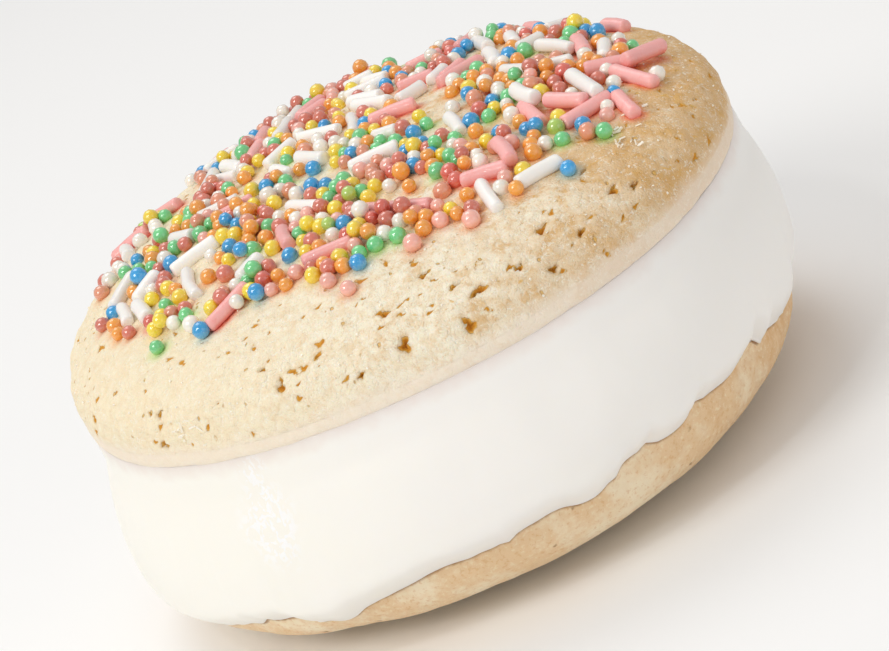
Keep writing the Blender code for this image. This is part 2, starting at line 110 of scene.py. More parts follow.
# Narrow pointed teeth of the edge, and nicks where the depth is below zero
TEETH = (
    (320.6, 1.7, 0.0010),
    (317.2, 1.8, -0.0009),
    (331.5, 2.2, 0.0006),
    (335.0, 2.4, -0.0011),
    (301.5, 2.0, -0.0004),
    (291.0, 1.8, -0.0004),
    (284.3, 1.5, 0.0003),
    (265.5, 1.6, 0.0003),
    (231.0, 1.8, 0.0005),
    (221.0, 1.6, -0.0004),
    (20.0, 2.2, 0.0006),
    (55.0, 2.0, -0.0005),
    (102.0, 2.1, 0.0007),
    (133.0, 2.4, 0.0006),
    (171.0, 2.0, -0.0005),
)
RIPPLE_HEIGHT = 0.00022
RIPPLE_DEGREES = 3.2
LIP_THICKNESS = 0.00042
LIP_GAP = 0.00004

# The slab's side: length and height of its soft waves, and how far in they lie
SLAB_WAVES = ((0.014, 0.00028), (0.006, 0.00008))
SLAB_INSET = 0.00024

# Low lumps of the crown
LUMP_HEIGHT = 0.00035
LUMP_LENGTH = 0.011
LUMP_FADE = 6

# Relief of the crumb: length and height of each of its waves
CRUMB_WAVES = ((0.0050, 0.00026), (0.0019, 0.00016), (0.0009, 0.00008))
BELLY_WAVES = ((0.0070, 0.00024), (0.0021, 0.00006), (0.0009, 0.00003))

# Open pits in the crown's side: direction in degrees, share of the crown's arc from the top,
# width along the rim, height up the side
PITS = (
    (-85, 0.91, 0.0011, 0.0015),
    (-95, 0.85, 0.0011, 0.0016),
    (-103, 0.90, 0.0007, 0.0006),
    (-81, 0.78, 0.0018, 0.0007),
    (-84, 0.70, 0.0010, 0.0005),
    (-70, 0.89, 0.0010, 0.0006),
    (-74, 0.79, 0.0010, 0.0006),
    (-67, 0.69, 0.0013, 0.0008),
    (-54, 0.76, 0.0011, 0.0008),
    (-53, 0.60, 0.0010, 0.0004),
    (-116, 0.80, 0.0008, 0.0014),
    (-141, 0.81, 0.0006, 0.0009),
    (-141, 0.97, 0.0010, 0.0008),
    (-96, 0.66, 0.0011, 0.0007),
    (-119, 0.70, 0.0008, 0.0004),
    (-63, 0.82, 0.0009, 0.0007),
    (-51, 0.81, 0.0008, 0.0006),
    (-87, 0.58, 0.0012, 0.0006),
    (35, 0.88, 0.0014, 0.0010),
    (96, 0.83, 0.0018, 0.0009),
    (121, 0.92, 0.0010, 0.0014),
    (163, 0.86, 0.0013, 0.0009),
)
PIT_DEPTH = 0.0008
PIT_SEED = 12
SMALL_PITS = 260
SMALL_PIT_LENGTH = (0.0004, 0.0011)
SMALL_PIT_SLIMNESS = (0.30, 0.60)
SMALL_PIT_DEPTH = 0.22
SMALL_PIT_ARC = (0.42, 0.985)
SMALL_PIT_TURN = 0.8

# Points round each skin, and how close two points are when they are merged
COOKIE_SPOKES = 720
ICE_SPOKES = 720
BASE_SPOKES = 480
SEAM_GAP = 1e-7

# Sprinkles
COLOUR_SEED = 5
SEED = 41
PEARL_SIZE = (0.00145, 0.00190)
ROD_SIZE = (0.00140, 0.00175)
ROD_LENGTH = (0.0030, 0.0058)
SUNK_SHARE = 0.20
PRESSED_SHARE = 0.90
CLEAR_OF_RODS = 0.80
BED_RADIUS = 0.0310
BED_DENT = 0.0070
BED_DENT_DIRECTION = -115
BED_DENT_WIDTH = 42
PATCH_LENGTH = 0.0075
PATCH_LIMIT = -0.16
SECOND_LAYER_PATCH_LIMIT = 0.04
LYING_RODS = 34
LYING_PEARLS = 330
UPPER_RODS = 16
UPPER_PEARLS = 215
TRIES_EACH = 40
BEAD_SPACING = 0.4

# How high a sprinkle may ride on others, as a share of its size, and the top of the whole heap
RIDING_SHARE = 0.5
HEAP_TOP = 0.0404

# Sprinkles placed one by one, by colour, in millimetres from the upper cookie's middle.
# A rod has x, y, length and heading in degrees, a pearl has x and y.
PLACED_RODS = {
    "pink": (
        (-17.4, -18.6, 5.8, 25), (-6.2, -20.6, 5.4, -15), (1.7, -18.6, 8.5, -43), (10.8, -21.5, 5.0, -18),
        (13.4, -20.4, 4.8, -87), (18.0, -13.1, 6.0, -85), (22.7, -16.8, 6.0, 22), (26.3, -18.3, 5.0, -85),
        (27.6, -8.4, 5.2, -15), (28.8, -12.8, 6.0, -60), (31.1, -9.4, 5.5, 31), (21.5, -14.3, 5.0, -47),
        (26.6, 0.4, 5.6, -93), (-9.5, -12.3, 4.6, -89), (14.1, 10.8, 4.0, 46), (10.1, 13.0, 4.2, -4),
        (31.3, 5.6, 3.5, -56),
    ),
    "milk": (
        (10.0, -25.3, 5.6, -88), (15.3, -25.2, 5.0, 12), (24.0, -12.8, 6.6, -80), (-20.1, -9.3, 7.0, -88),
        (-18.9, -3.3, 5.6, 7), (-28.0, -4.5, 5.0, -87), (-26.0, -7.4, 5.0, -82), (-13.9, -14.4, 3.5, 35),
        (-6.5, -6.8, 5.4, -60), (-3.7, 5.3, 5.2, -61), (2.2, -4.4, 5.7, -14), (1.8, 8.4, 5.5, -97),
        (-5.1, 20.6, 5.1, 69), (-14.9, 18.4, 5.5, 72), (18.3, 8.4, 5.6, -92), (18.5, 16.1, 5.3, -83),
        (22.6, 7.6, 3.3, 24), (24.3, 2.3, 5.8, -63), (19.8, 0.3, 5.4, -55), (23.2, -2.8, 3.6, -20),
        (28.2, -3.5, 5.2, -103), (27.0, 12.8, 4.8, 32), (18.5, -9.5, 5.0, -76), (8.9, 8.8, 3.6, 24),
        (10.9, -6.6, 5.6, -88),
    ),
}
PLACED_PEARLS = {
    "green": (
        (-25.7, -16.1), (0.5, -24.4), (19.0, -21.0), (22.9, -22.2), (-26.8, 6.2), (-25.2, 3.7), (-23.7, 1.8),
        (-23.4, -10.0), (-10.6, -7.0), (-13.0, -10.6), (-3.8, -8.8), (16.3, 7.0), (14.9, 5.6), (18.9, -5.0),
        (17.1, -5.8), (14.3, -8.5), (8.5, -2.9), (9.2, -16.0), (30.9, -4.4),
    ),
    "lime": ((19.5, -18.0),),
    "yellow": (
        (-14.7, -19.0), (-21.7, -10.8), (-15.7, -9.5), (-14.1, -4.4), (-8.0, -15.6), (-5.8, -14.9),
        (-3.7, -12.3), (-11.1, -13.1), (-1.1, -8.6), (0.8, -11.9), (14.3, 2.0), (19.8, -9.0), (8.3, 0.4),
        (-24.7, -6.2),
    ),
    "blue": (
        (-20.3, -19.8), (-9.8, -17.1), (17.9, -26.4), (-29.2, -1.7), (-21.5, -1.3), (-14.1, -10.8),
        (-21.9, 10.3), (-4.0, 1.9), (-3.5, -4.2), (-4.9, -2.6), (28.3, 5.9), (29.2, 4.1), (15.5, -4.9),
        (12.5, -7.9), (14.2, -14.5), (5.2, -12.1), (7.3, -11.2), (5.3, -7.2),
    ),
    "orange": (
        (-11.3, -21.7), (-7.1, -22.4), (3.7, -23.5), (6.5, -25.5), (12.6, -26.5), (-26.3, -1.1), (-23.6, 7.3),
        (-18.6, 6.5), (-16.3, -1.4), (-18.2, -10.7), (3.8, -15.9), (3.8, -12.9), (12.3, -11.1),
        (10.9, -15.6), (6.8, -14.7), (16.1, -19.8),
    ),
    "coral": (
        (-2.0, -15.9), (0.3, -20.5), (-23.0, -5.1), (-21.6, -13.3), (-12.2, -16.5), (-16.5, -12.4),
        (-5.3, -5.0), (9.2, -8.1), (21.8, -10.3), (15.9, -0.3),
    ),
    "red": ((-4.1, -20.5), (8.7, -20.5)),
    "salmon": (
        (-12.8, -20.9), (-9.9, -20.9), (-7.4, -25.6), (-6.0, -28.3), (4.8, -25.3), (7.4, -27.7), (1.4, -26.9),
        (24.1, -19.3), (-8.4, -11.4), (0.3, -6.0), (10.2, -13.3), (14.4, -18.0),
    ),
    "white": (
        (-21.5, -17.2), (-23.2, -14.4), (11.4, -25.1), (17.4, -20.5), (30.9, -13.4), (32.4, -6.8),
        (-17.2, -5.9), (-8.0, 0.9), (-6.7, -2.3), (2.1, -13.6), (-5.1, -17.8), (11.7, -1.8), (0.1, 4.2),
    ),
}


def srgb(red, green, blue):
    """A colour as the eye names it, 0 to 255, in the shaders' linear light."""
    shares = [level / 255 for level in (red, green, blue)]
    return tuple(share / 12.92 if share < 0.04 else ((share + 0.055) / 1.055) ** 2.4 for share in shares)


SUGAR_COLOURS = {
    "coral": srgb(216, 116, 94),
    "clay": srgb(228, 150, 116),
    "red": srgb(220, 100, 82),
    "salmon": srgb(248, 180, 164),
    "orange": srgb(250, 164, 48),
    "yellow": srgb(254, 220, 40),
    "white": srgb(249, 242, 230),
    "green": srgb(112, 212, 136),
    "lime": srgb(180, 214, 96),
    "blue": srgb(6, 158, 222),
    "pink": srgb(251, 180, 176),
    "milk": srgb(249, 245, 240),
}

# How often each colour comes up among the drawn pearls
PEARL_COLOURS = {
    "coral": 16, "clay": 14, "red": 3, "salmon": 6, "orange": 16,
    "yellow": 16, "white": 15, "green": 13, "lime": 1, "blue": 10,
}

# How strongly each colour bleeds into the crumb, and the colour that it leaves there
STAINS = {
    "coral": (0.55, srgb(232, 140, 70)),
    "clay": (0.50, srgb(236, 156, 88)),
    "red": (0.75, srgb(238, 104, 58)),
    "salmon": (0.45, srgb(240, 160, 110)),
    "orange": (0.60, srgb(244, 160, 60)),
    "yellow": (0.35, srgb(248, 218, 96)),
    "white": (0.0, srgb(246, 241, 234)),
    "milk": (0.0, srgb(246, 241, 234)),
    "green": (0.55, srgb(176, 226, 110)),
    "lime": (0.30, srgb(210, 224, 130)),
    "blue": (0.45, srgb(160, 214, 220)),
    "pink": (0.95, srgb(238, 100, 64)),
}
STAIN_REACH = 0.0013
STAIN_FADE = 1.5
UNSTAINED = (0.8, 0.6, 0.4, 0.0)


def wave(waves, angle):
    """How far an outline departs from round at an angle, as a share of its radius."""
    total = 0.0
    for count, size, direction in waves:
        total += size * math.cos(count * angle - math.radians(direction))
    return total


def rim(radius, centre, waves, angle):
    """A cookie's radius at an angle, measured from the origin."""
    offset = centre.dot(Vector((math.cos(angle), math.sin(angle))))
    return offset + radius * (1 + wave(waves, angle))


def top_radius(angle):
    return rim(TOP_RADIUS, TOP_CENTRE, TOP_WAVES, angle)


def base_radius(angle):
    return rim(BASE_RADIUS, BASE_CENTRE, BASE_WAVES, angle)


def dome(share, rise, fullness):
    """Height over the waist of a rounded form, at a share of its radius."""
    return rise * max(0.0, 1 - share**fullness) ** (1 / fullness)


def top_lean(radius, angle):
    return TOP_LEAN.dot(Vector((math.cos(angle), math.sin(angle)))) * radius


def crown_height(share, angle):
    """The upper cookie's crown, lumps and lean included."""
    radius = share * top_radius(angle)
    place = Vector((radius * math.cos(angle), radius * math.sin(angle), 0)) / LUMP_LENGTH
    lump = LUMP_HEIGHT * noise.noise(place) * (1 - share**LUMP_FADE)
    rise = dome(share, TOP_CROWN, TOP_CROWN_FULLNESS)
    return TOP_WAIST + rise + lump + top_lean(radius, angle)


def heel_height(share, angle):
    """The upper cookie's flat underside."""
    radius = share * top_radius(angle)
    depth = TOP_HEEL * (1 + wave(TOP_HEEL_WAVES, angle) * share)
    return TOP_WAIST - dome(share, depth, FLAT_FULLNESS) + top_lean(radius, angle)


def shoulder_height(share):
    """The lower cookie's flat side, which is turned up."""
    return BASE_WAIST + dome(share, BASE_SHOULDER, FLAT_FULLNESS)


def belly_height(share):
    """The lower cookie's crown, turned down and settled flat where it meets the floor."""
    return max(0.0, BASE_WAIST - dome(share, BASE_BELLY, BASE_BELLY_FULLNESS))


def belly_share(height):
    """The share of the lower cookie's radius at a height below its waist."""
    drop = max(0.0, BASE_WAIST - height) / BASE_BELLY
    return (1 - drop**BASE_BELLY_FULLNESS) ** (1 / BASE_BELLY_FULLNESS)


def degrees_from(angle, direction):
    """How far an angle lies from a direction given in degrees, between -180 and 180."""
    return (math.degrees(angle) - direction + 180) % 360 - 180


def edge_height(angle):
    """The level of the ice cream's lapping edge, with its runs, teeth and ripples."""
    high_side = math.radians(ICE_EDGE_HIGH_SIDE)
    height = ICE_EDGE_LEVEL + ICE_EDGE_RISE * math.cos(angle - high_side)
    for direction, half_width, depth in DRIPS:
        height -= depth * math.exp(-((degrees_from(angle, direction) / half_width) ** 2))
    for direction, half_width, depth in TEETH:
        height -= depth * max(0.0, 1 - abs(degrees_from(angle, direction)) / half_width)
    turns = math.degrees(math.tau) / RIPPLE_DEGREES / math.tau
    ripple = Vector((math.cos(angle), math.sin(angle), 0)) * turns
    return height + RIPPLE_HEIGHT * noise.noise(ripple)


def crown_point(x, y):
    """The height of the crown over a point of the plan."""
    angle = math.atan2(y, x)
    return crown_height(min(1.0, math.hypot(x, y) / top_radius(angle)), angle)


def bed_radius(angle):
    """How far out the sprinkles lie: their bed has a bare dent at the front."""
    away = degrees_from(angle, BED_DENT_DIRECTION)
    return BED_RADIUS - BED_DENT * math.exp(-((away / BED_DENT_WIDTH) ** 2))


def beads_of(x, y, length, heading, size):
    """Plan points along a sprinkle, close enough to stand for it in a contact test."""
    straight = max(0.0, length - size)
    count = 1 + math.ceil(straight / (size * BEAD_SPACING))
    along = Vector((math.cos(heading), math.sin(heading)))
    shares = [0.0] if count == 1 else [bead / (count - 1) - 0.5 for bead in range(count)]
    return [Vector((x, y)) + along * straight * share for share in shares]


def lift_over(lying, beads, size):
    """How much higher than the crown a sprinkle has to lie to rest on those under it."""
    rests = [crown_point(bead.x, bead.y) + size * (0.5 - SUNK_SHARE) for bead in beads]
    span = (beads[-1] - beads[0]).length
    lift = 0.0
    for other in lying:
        reach = (size + other["size"]) / 2 * PRESSED_SHARE
        if (beads[0] - other["beads"][0].xy).length > reach + span + other["length"]:
            continue
        for bead, rest in zip(beads, rests):
            for centre in other["beads"]:
                apart = (bead - centre.xy).length
                if apart < reach:
                    lift = max(lift, centre.z + math.sqrt(reach**2 - apart**2) - rest)
    return lift


def lay(lying, x, y, length, heading, size, lift):
    """Adds a sprinkle, so far above the crown, to those that already lie there."""
    rest = size * (0.5 - SUNK_SHARE) + lift
    beads = []
    for bead in beads_of(x, y, length, heading, size):
        beads.append(Vector((bead.x, bead.y, crown_point(bead.x, bead.y) + rest)))
    lying.append({"size": size, "length": length, "beads": beads})


def beside_rods(lying, x, y, size):
    """A placed pearl's point, pushed aside where a rod lies."""
    here = Vector((x, y))
    for other in lying:
        if not other["length"]:
            continue
        nearest = min(other["beads"], key=lambda bead: (here - bead.xy).length)
        away = here - nearest.xy
        reach = (size + other["size"]) / 2 * PRESSED_SHARE
        if away.length < reach:
            here = nearest.xy + away.normalized() * reach
    return here.x, here.y


def hides_rod(lying, x, y, size):
    """Whether a pearl over a point of the plan would hide a rod."""
    here = Vector((x, y))
    for other in lying:
        reach = (size + other["size"]) / 2 * CLEAR_OF_RODS
        if other["length"] and any((here - bead.xy).length < reach for bead in other["beads"]):
            return True
    return False


def lay_placed(draw, lying, colour, x, y, length=0, heading=0):
    """Lays a sprinkle whose place is listed, in millimetres and degrees."""
    size = draw.uniform(*(ROD_SIZE if length else PEARL_SIZE))
    x, y = x * MM + TOP_CENTRE.x, y * MM + TOP_CENTRE.y
    length, heading = length * MM, math.radians(heading)
    if not length:
        x, y = beside_rods(lying, x, y, size)
    lift = lift_over(lying, beads_of(x, y, length, heading, size), size)
    lay(lying, x, y, length, heading, size, min(lift, size * RIDING_SHARE))
    lying[-1]["colour"] = colour


def random_spot(draw):
    """A point of the sprinkles' bed, and how closely the sprinkles lie there."""
    angle = draw.uniform(-math.pi, math.pi)
    radius = bed_radius(angle) * math.sqrt(draw.random())
    x, y = radius * math.cos(angle), radius * math.sin(angle)
    patch = noise.noise(Vector((x, y, 0)) / PATCH_LENGTH)
    return x, y, patch


def rides_well(x, y, size, lift):
    """Whether a sprinkle lies low enough on the others, and under the heap's top."""
    top = crown_point(x, y) + size * (1 - SUNK_SHARE) + lift
    return 0 < lift < size * RIDING_SHARE and top < HEAP_TOP


def scatter(draw, lying, wanted, rods, second_layer):
    """Strews sprinkles one by one, each on the crown or on those that already lie there."""
    patch_limit = SECOND_LAYER_PATCH_LIMIT if second_layer else PATCH_LIMIT
    laid = 0
    for _ in range(wanted * TRIES_EACH):
        if laid == wanted:
            return
        x, y, patch = random_spot(draw)
        heading = draw.uniform(0, math.pi)
        size = draw.uniform(*(ROD_SIZE if rods else PEARL_SIZE))
        length = draw.uniform(*ROD_LENGTH) if rods else 0.0
        if patch < patch_limit:
            continue
        lift = lift_over(lying, beads_of(x, y, length, heading, size), size)
        fits = rides_well(x, y, size, lift) if second_layer else lift == 0
        if fits and (rods or not hides_rod(lying, x, y, size)):
            lay(lying, x, y, length, heading, size, lift)
            laid += 1


def all_sprinkles():
    """Every sprinkle, in the order in which it falls, with its colour."""
    draw = random.Random(SEED)
    lying = []
    for placed in (PLACED_RODS, PLACED_PEARLS):
        for colour, places in placed.items():
            for place in places:
                lay_placed(draw, lying, colour, *place)
    scatter(draw, lying, LYING_RODS, rods=True, second_layer=False)
    scatter(draw, lying, LYING_PEARLS, rods=False, second_layer=False)
    scatter(draw, lying, UPPER_RODS, rods=True, second_layer=True)
    scatter(draw, lying, UPPER_PEARLS, rods=False, second_layer=True)
    colour_in(lying)
    return lying


# Rods are pinker in a patch at the right: where it is, and the share of pink in and out of it
PINK_PATCH = Vector((0.024, -0.010))
PINK_PATCH_REACH = 0.013
PINK_SHARE_INSIDE = 0.80
PINK_SHARE_OUTSIDE = 0.30


def colour_in(lying):
    """Gives a colour to the sprinkles that have none yet."""
    draw = random.Random(COLOUR_SEED)
    names, weights = list(PEARL_COLOURS), list(PEARL_COLOURS.values())
    for sprinkle in lying:
        if "colour" in sprinkle:
            continue
        inside = (sprinkle["beads"][0].xy - PINK_PATCH).length < PINK_PATCH_REACH
        pink_share = PINK_SHARE_INSIDE if inside else PINK_SHARE_OUTSIDE
        pearl_colour = draw.choices(names, weights)[0]
        rod_colour = "pink" if draw.random() < pink_share else "milk"
        sprinkle["colour"] = rod_colour if sprinkle["length"] else pearl_colour


# Making of the meshes

def nothing_selected():
    for piece in bpy.context.selected_objects:
        piece.select_set(False)


def readings(mesh, field, width=3):
    """A field of all points of a mesh, one row each."""
    values = np.empty(len(mesh.vertices) * width, np.float32)
    mesh.vertices.foreach_get(field, values)
    return values.reshape(-1, width).astype(float)


def move_points(mesh, places):
    mesh.vertices.foreach_set("co", places.astype(np.float32).ravel())
    mesh.update()


def turned_skin(name, section, spokes):
    """A grid rolled up, spoke by spoke, to a section from the top pole to the lower one.

    Returns the piece and the number of each point's ring.
    """
    outlines = np.array([section(math.tau * spoke / spokes) for spoke in range(spokes)])
    rings = outlines.shape[1] - 1
    nothing_selected()
    bpy.ops.mesh.primitive_grid_add(x_subdivisions=spokes, y_subdivisions=rings, size=2, calc_uvs=False)
    piece = bpy.context.object
    mesh = piece.data
    piece.name = mesh.name = name
    bpy.ops.object.shade_smooth()
    flat = readings(mesh, "co")
    spoke = np.rint((flat[:, 0] + 1) / 2 * spokes).astype(int) % spokes
    ring = np.rint((1 - flat[:, 1]) / 2 * rings).astype(int)
    radius, height = outlines[spoke, ring].T
    turn = math.tau * spoke / spokes
    move_points(mesh, np.column_stack((radius * np.cos(turn), radius * np.sin(turn), height)))
    store(mesh, "ring", ring)
    bpy.ops.object.mode_set(mode="EDIT")
    bpy.ops.mesh.select_all(action="SELECT")
    bpy.ops.mesh.remove_doubles(threshold=SEAM_GAP)
    bpy.ops.object.mode_set(mode="OBJECT")
    ring = np.empty(len(mesh.vertices), np.float32)
    mesh.attributes["ring"].data.foreach_get("value", ring)
    mesh.attributes.remove(mesh.attributes["ring"])
    return piece, np.rint(ring).astype(int)


def raise_points(mesh, heights):
    """Moves the points of a mesh along its normals."""
    places = readings(mesh, "co")
    move_points(mesh, places + readings(mesh, "normal") * heights[:, None])


def rough(places, waves):
    """Relief made of a few waves of noise, each given by its length and height."""
    relief = np.zeros(len(places))
    for length, height in waves:
        relief += [height * noise.noise(Vector(place) / length) for place in places]
    return relief


def store(mesh, name, values):
    """Keeps one number, or one colour, for each point of a mesh."""
    kind, field = ("FLOAT", "value") if values.ndim == 1 else ("FLOAT_COLOR", "color")
    kept = mesh.attributes.new(name, kind, "POINT").data
    kept.foreach_set(field, values.astype(np.float32).ravel())


ARC_READINGS = 4001


def arc_shares(rise, fullness, reach, first, last, steps):
    """Shares of the radius at even steps along a dome's arc, between two shares of the radius."""
    turns = np.linspace(0, math.pi / 2, ARC_READINGS)
    shares = np.sin(turns) ** (2 / fullness)
    heights = rise * np.abs(np.cos(turns)) ** (2 / fullness)
    run = np.concatenate(([0], np.cumsum(np.hypot(np.diff(shares * reach), np.diff(heights)))))
    start, end = np.interp((first, last), shares, run)
    return [float(share) for share in np.interp(np.linspace(start, end, steps + 1), run, shares)]


def ease(values, low, high):
    """0 below low and 1 above high, with a soft passage between."""
    share = np.clip((values - low) / (high - low), 0, 1)
    return share * share * (3 - 2 * share)


# Upper cookie

# Where each side's coarse rings end and the fine ones of the rim begin
CROWN_SPLIT = 0.55
HEEL_SPLIT = 0.93
CROWN_SHARES = arc_shares(TOP_CROWN, TOP_CROWN_FULLNESS, TOP_RADIUS, 0, CROWN_SPLIT, 20)
CROWN_SHARES += arc_shares(TOP_CROWN, TOP_CROWN_FULLNESS, TOP_RADIUS, CROWN_SPLIT, 1, 96)[1:]
HEEL_SHARES = arc_shares(TOP_HEEL, FLAT_FULLNESS, TOP_RADIUS, 0, HEEL_SPLIT, 4)
HEEL_SHARES += arc_shares(TOP_HEEL, FLAT_FULLNESS, TOP_RADIUS, HEEL_SPLIT, 1, 14)[1:-1]
HEEL_SHARES.reverse()

# The crumb is calmer past the rim: between which steps of its fall, and by what share
CALM_FALL = (0.97, 1.06)
CALM_SHARE = 0.7


def top_section(angle):
    reach = top_radius(angle)
    crown = [(share * reach, crown_height(share, angle)) for share in CROWN_SHARES]
    return crown + [(share * reach, heel_height(share, angle)) for share in HEEL_SHARES]


def pit_place(direction, arc):
    """The middle of a pit on the crown, with the crown's directions along the rim and up the side."""
    angle = math.radians(direction)
    turn = arc * math.pi / 2
    share = math.sin(turn) ** (2 / TOP_CROWN_FULLNESS)
    outward = Vector((math.cos(angle), math.sin(angle), 0))
    centre = outward * share * top_radius(angle) + Vector((0, 0, crown_height(share, angle)))
    along = Vector((-math.sin(angle), math.cos(angle), 0))
    above = math.sin((arc - 0.01) * math.pi / 2) ** (2 / TOP_CROWN_FULLNESS)
    upward = outward * above * top_radius(angle) + Vector((0, 0, crown_height(above, angle))) - centre
    return centre, along, upward.normalized()


def all_pits():
    """Every pit: its middle, its two half axes, its outline's phase and how deep it is."""
    draw = random.Random(PIT_SEED)
    pits = []
    for direction, arc, width, height in PITS:
        centre, along, upward = pit_place(direction, arc)
        phase = draw.uniform(0, math.tau)
        pits.append((centre, along / width * 2, upward / height * 2, phase, 1.0))
    for _ in range(SMALL_PITS):
        direction = draw.uniform(-180, 180)
        arc = draw.uniform(*SMALL_PIT_ARC)
        centre, along, upward = pit_place(direction, arc)
        length = draw.uniform(*SMALL_PIT_LENGTH)
        breadth = length * draw.uniform(*SMALL_PIT_SLIMNESS)
        heading = draw.gauss(0, SMALL_PIT_TURN)
        major = along * math.cos(heading) + upward * math.sin(heading)
        minor = upward * math.cos(heading) - along * math.sin(heading)
        phase = draw.uniform(0, math.tau)
        pits.append((centre, major / length * 2, minor / breadth * 2, phase, SMALL_PIT_DEPTH))
    return pits


# A pit's ragged outline: corners, how far they reach, and a turn of their own
PIT_OUTLINE = ((2, 0.16, 1.0), (3, 0.30, 2.3), (5, 0.18, 0.7), (8, 0.09, 1.9))
PIT_SEARCH = 0.004
PIT_SLOPE = (-0.10, 0.65)


def pit_fields(places):
    """For each point how far inside a pit it is, 1 at the middle and below 0 outside, and how deep."""
    hollow = np.full(len(places), -1.0)
    depth = np.zeros(len(places))
    for centre, major, minor, phase, share in all_pits():
        apart = places - np.array(centre)
        near = np.flatnonzero(np.abs(apart).max(axis=1) < PIT_SEARCH)
        x, y = apart[near] @ np.array(major), apart[near] @ np.array(minor)
        turn = np.arctan2(y, x)
        reach = 1 + sum(size * np.cos(count * turn + phase * own) for count, size, own in PIT_OUTLINE)
        inside = 1 - np.hypot(x, y) / reach
        hollow[near] = np.maximum(hollow[near], inside)
        depth[near] = np.maximum(depth[near], share * PIT_DEPTH * ease(inside, *PIT_SLOPE))
    return hollow, depth


def stains(places, sprinkles):
    """The colour that the sprinkles have bled into each point, and in its alpha how strongly."""
    beads = [(bead, sprinkle) for sprinkle in sprinkles for bead in sprinkle["beads"][::2]]
    tree = kdtree.KDTree(len(beads))
    for number, (bead, _) in enumerate(beads):
        tree.insert(bead, number)
    tree.balance()
    colours = np.ones((len(places), 4)) * UNSTAINED
    search = STAIN_REACH + PEARL_SIZE[1]
    for point, place in enumerate(places):
        total, blend, strongest = 0.0, Vector((0, 0, 0)), 0.0
        for _, number, apart in tree.find_range(place, search):
            sprinkle = beads[number][1]
            strength, colour = STAINS[sprinkle["colour"]]
            away = max(0.0, apart - sprinkle["size"] / 2) / STAIN_REACH
            share = strength * max(0.0, 1 - away) ** STAIN_FADE
            total += share
            blend += Vector(colour) * share
            strongest = max(strongest, share)
        if total > 0:
            colours[point] = (*(blend / total), strongest)
    return colours


def make_top_cookie(sprinkles):
    piece, ring = turned_skin("top_cookie_skin", top_section, COOKIE_SPOKES)
    mesh = piece.data
    places = readings(mesh, "co")
    crown_rings = len(CROWN_SHARES) - 1
    rings = len(CROWN_SHARES) + len(HEEL_SHARES) - 1
    fall = np.where(ring < crown_rings, ring / crown_rings, 1 + (ring - crown_rings) / (rings - crown_rings))
    hollow, depth = pit_fields(places)
    calm = CALM_SHARE * ease(fall, *CALM_FALL)
    raise_points(mesh, rough(places, CRUMB_WAVES) * (1 - calm) - depth)
    store(mesh, "fall", fall)
    store(mesh, "hollow", hollow)
    store(mesh, "stain", stains(places, sprinkles))
    mesh.materials.append(sugar_cookie_finish())
    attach(piece, "root")
    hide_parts("top_cookie")
    return piece


# Ice cream

ICE_SIDE_STEPS = 13
LIP_STEPS = 4
ICE_UNDER_SHARES = (0, 0.35, 0.65, 0.82, 0.90, 0.945, 0.975, 0.994)
ICE_OVER_SHARES = (0.999, 0.99, 0.97, 0.93, 0.85, 0.65, 0.35, 0)
ICE_WALL_STEPS = (0.15, 0.4, 0.7, 1)
ICE_SINK = 0.00012

# The side's waves set in below the heel and end above the lip
WAVES_SET_IN = (0.02, 0.2)
WAVES_END = (0.80, 0.97)

# The side's straight line starts a little further in than the seam that has melted on to the heel
SIDE_SHARE = math.sin(0.4 * math.pi) ** (2 / FLAT_FULLNESS)


def smooth_run(points, steps):
    """Points on a smooth curve through the given ones, with so many steps from each to the next."""
    ends = [2 * points[0] - points[1], *points, 2 * points[-1] - points[-2]]
    run = []
    for before, start, end, after in zip(ends, ends[1:], ends[2:], ends[3:]):
        for step in range(steps):
            t = step / steps
            run.append(
                0.5 * (2 * start + (end - before) * t + (2 * before - 5 * start + 4 * end - after) * t**2
                       + (3 * start - before - 3 * end + after) * t**3)
            )
    return run + [points[-1]]


def ice_section(angle):
    """The ice cream's outline: under the heel, down the side, round the lip and over the shoulder."""
    heel, shoulder = top_radius(angle), base_radius(angle)
    under = [(share * heel, heel_height(share, angle) + ICE_SINK) for share in ICE_UNDER_SHARES]
    start_radius, start_height = SIDE_SHARE * heel, heel_height(SIDE_SHARE, angle) + ICE_SINK
    edge = edge_height(angle)
    wall = shoulder * belly_share(edge)
    edge_radius = wall + GAP + ICE_SKIRT
    swell = ICE_SWELL * (1 + wave(ICE_SWELL_WAVES, angle))
    sag = ICE_SAG * (1 + wave(ICE_SAG_WAVES, angle))
    side = [Vector(under[-1])]
    for ring in range(1, ICE_SIDE_RINGS + 1):
        fall = ring / (ICE_SIDE_RINGS + 1)
        straight = start_radius + (edge_radius - start_radius) * fall
        bulge = swell * math.sin(math.pi * fall**sag) ** ICE_BLUNTNESS
        side.append(Vector((straight + bulge, start_height + (edge - start_height) * fall)))
    side.append(Vector((wall + LIP_GAP + LIP_THICKNESS, edge + LIP_THICKNESS / 2)))
    section = under[:-1] + [tuple(point) for point in smooth_run(side, ICE_SIDE_STEPS)]
    for step in range(1, LIP_STEPS + 1):
        turn = math.pi * step / LIP_STEPS
        out = wall + LIP_GAP + LIP_THICKNESS * (1 + math.cos(turn)) / 2
        section.append((out, edge + LIP_THICKNESS / 2 * (1 - math.sin(turn))))
    for step in ICE_WALL_STEPS:
        height = edge + LIP_THICKNESS + (BASE_WAIST + LIP_THICKNESS * 2 - edge) * step
        reach = belly_share(min(height, BASE_WAIST))
        section.append((shoulder * reach - ICE_SINK, min(height, BASE_WAIST)))
    for share in ICE_OVER_SHARES:
        section.append((share * shoulder, shoulder_height(share) - ICE_SINK))
    return section


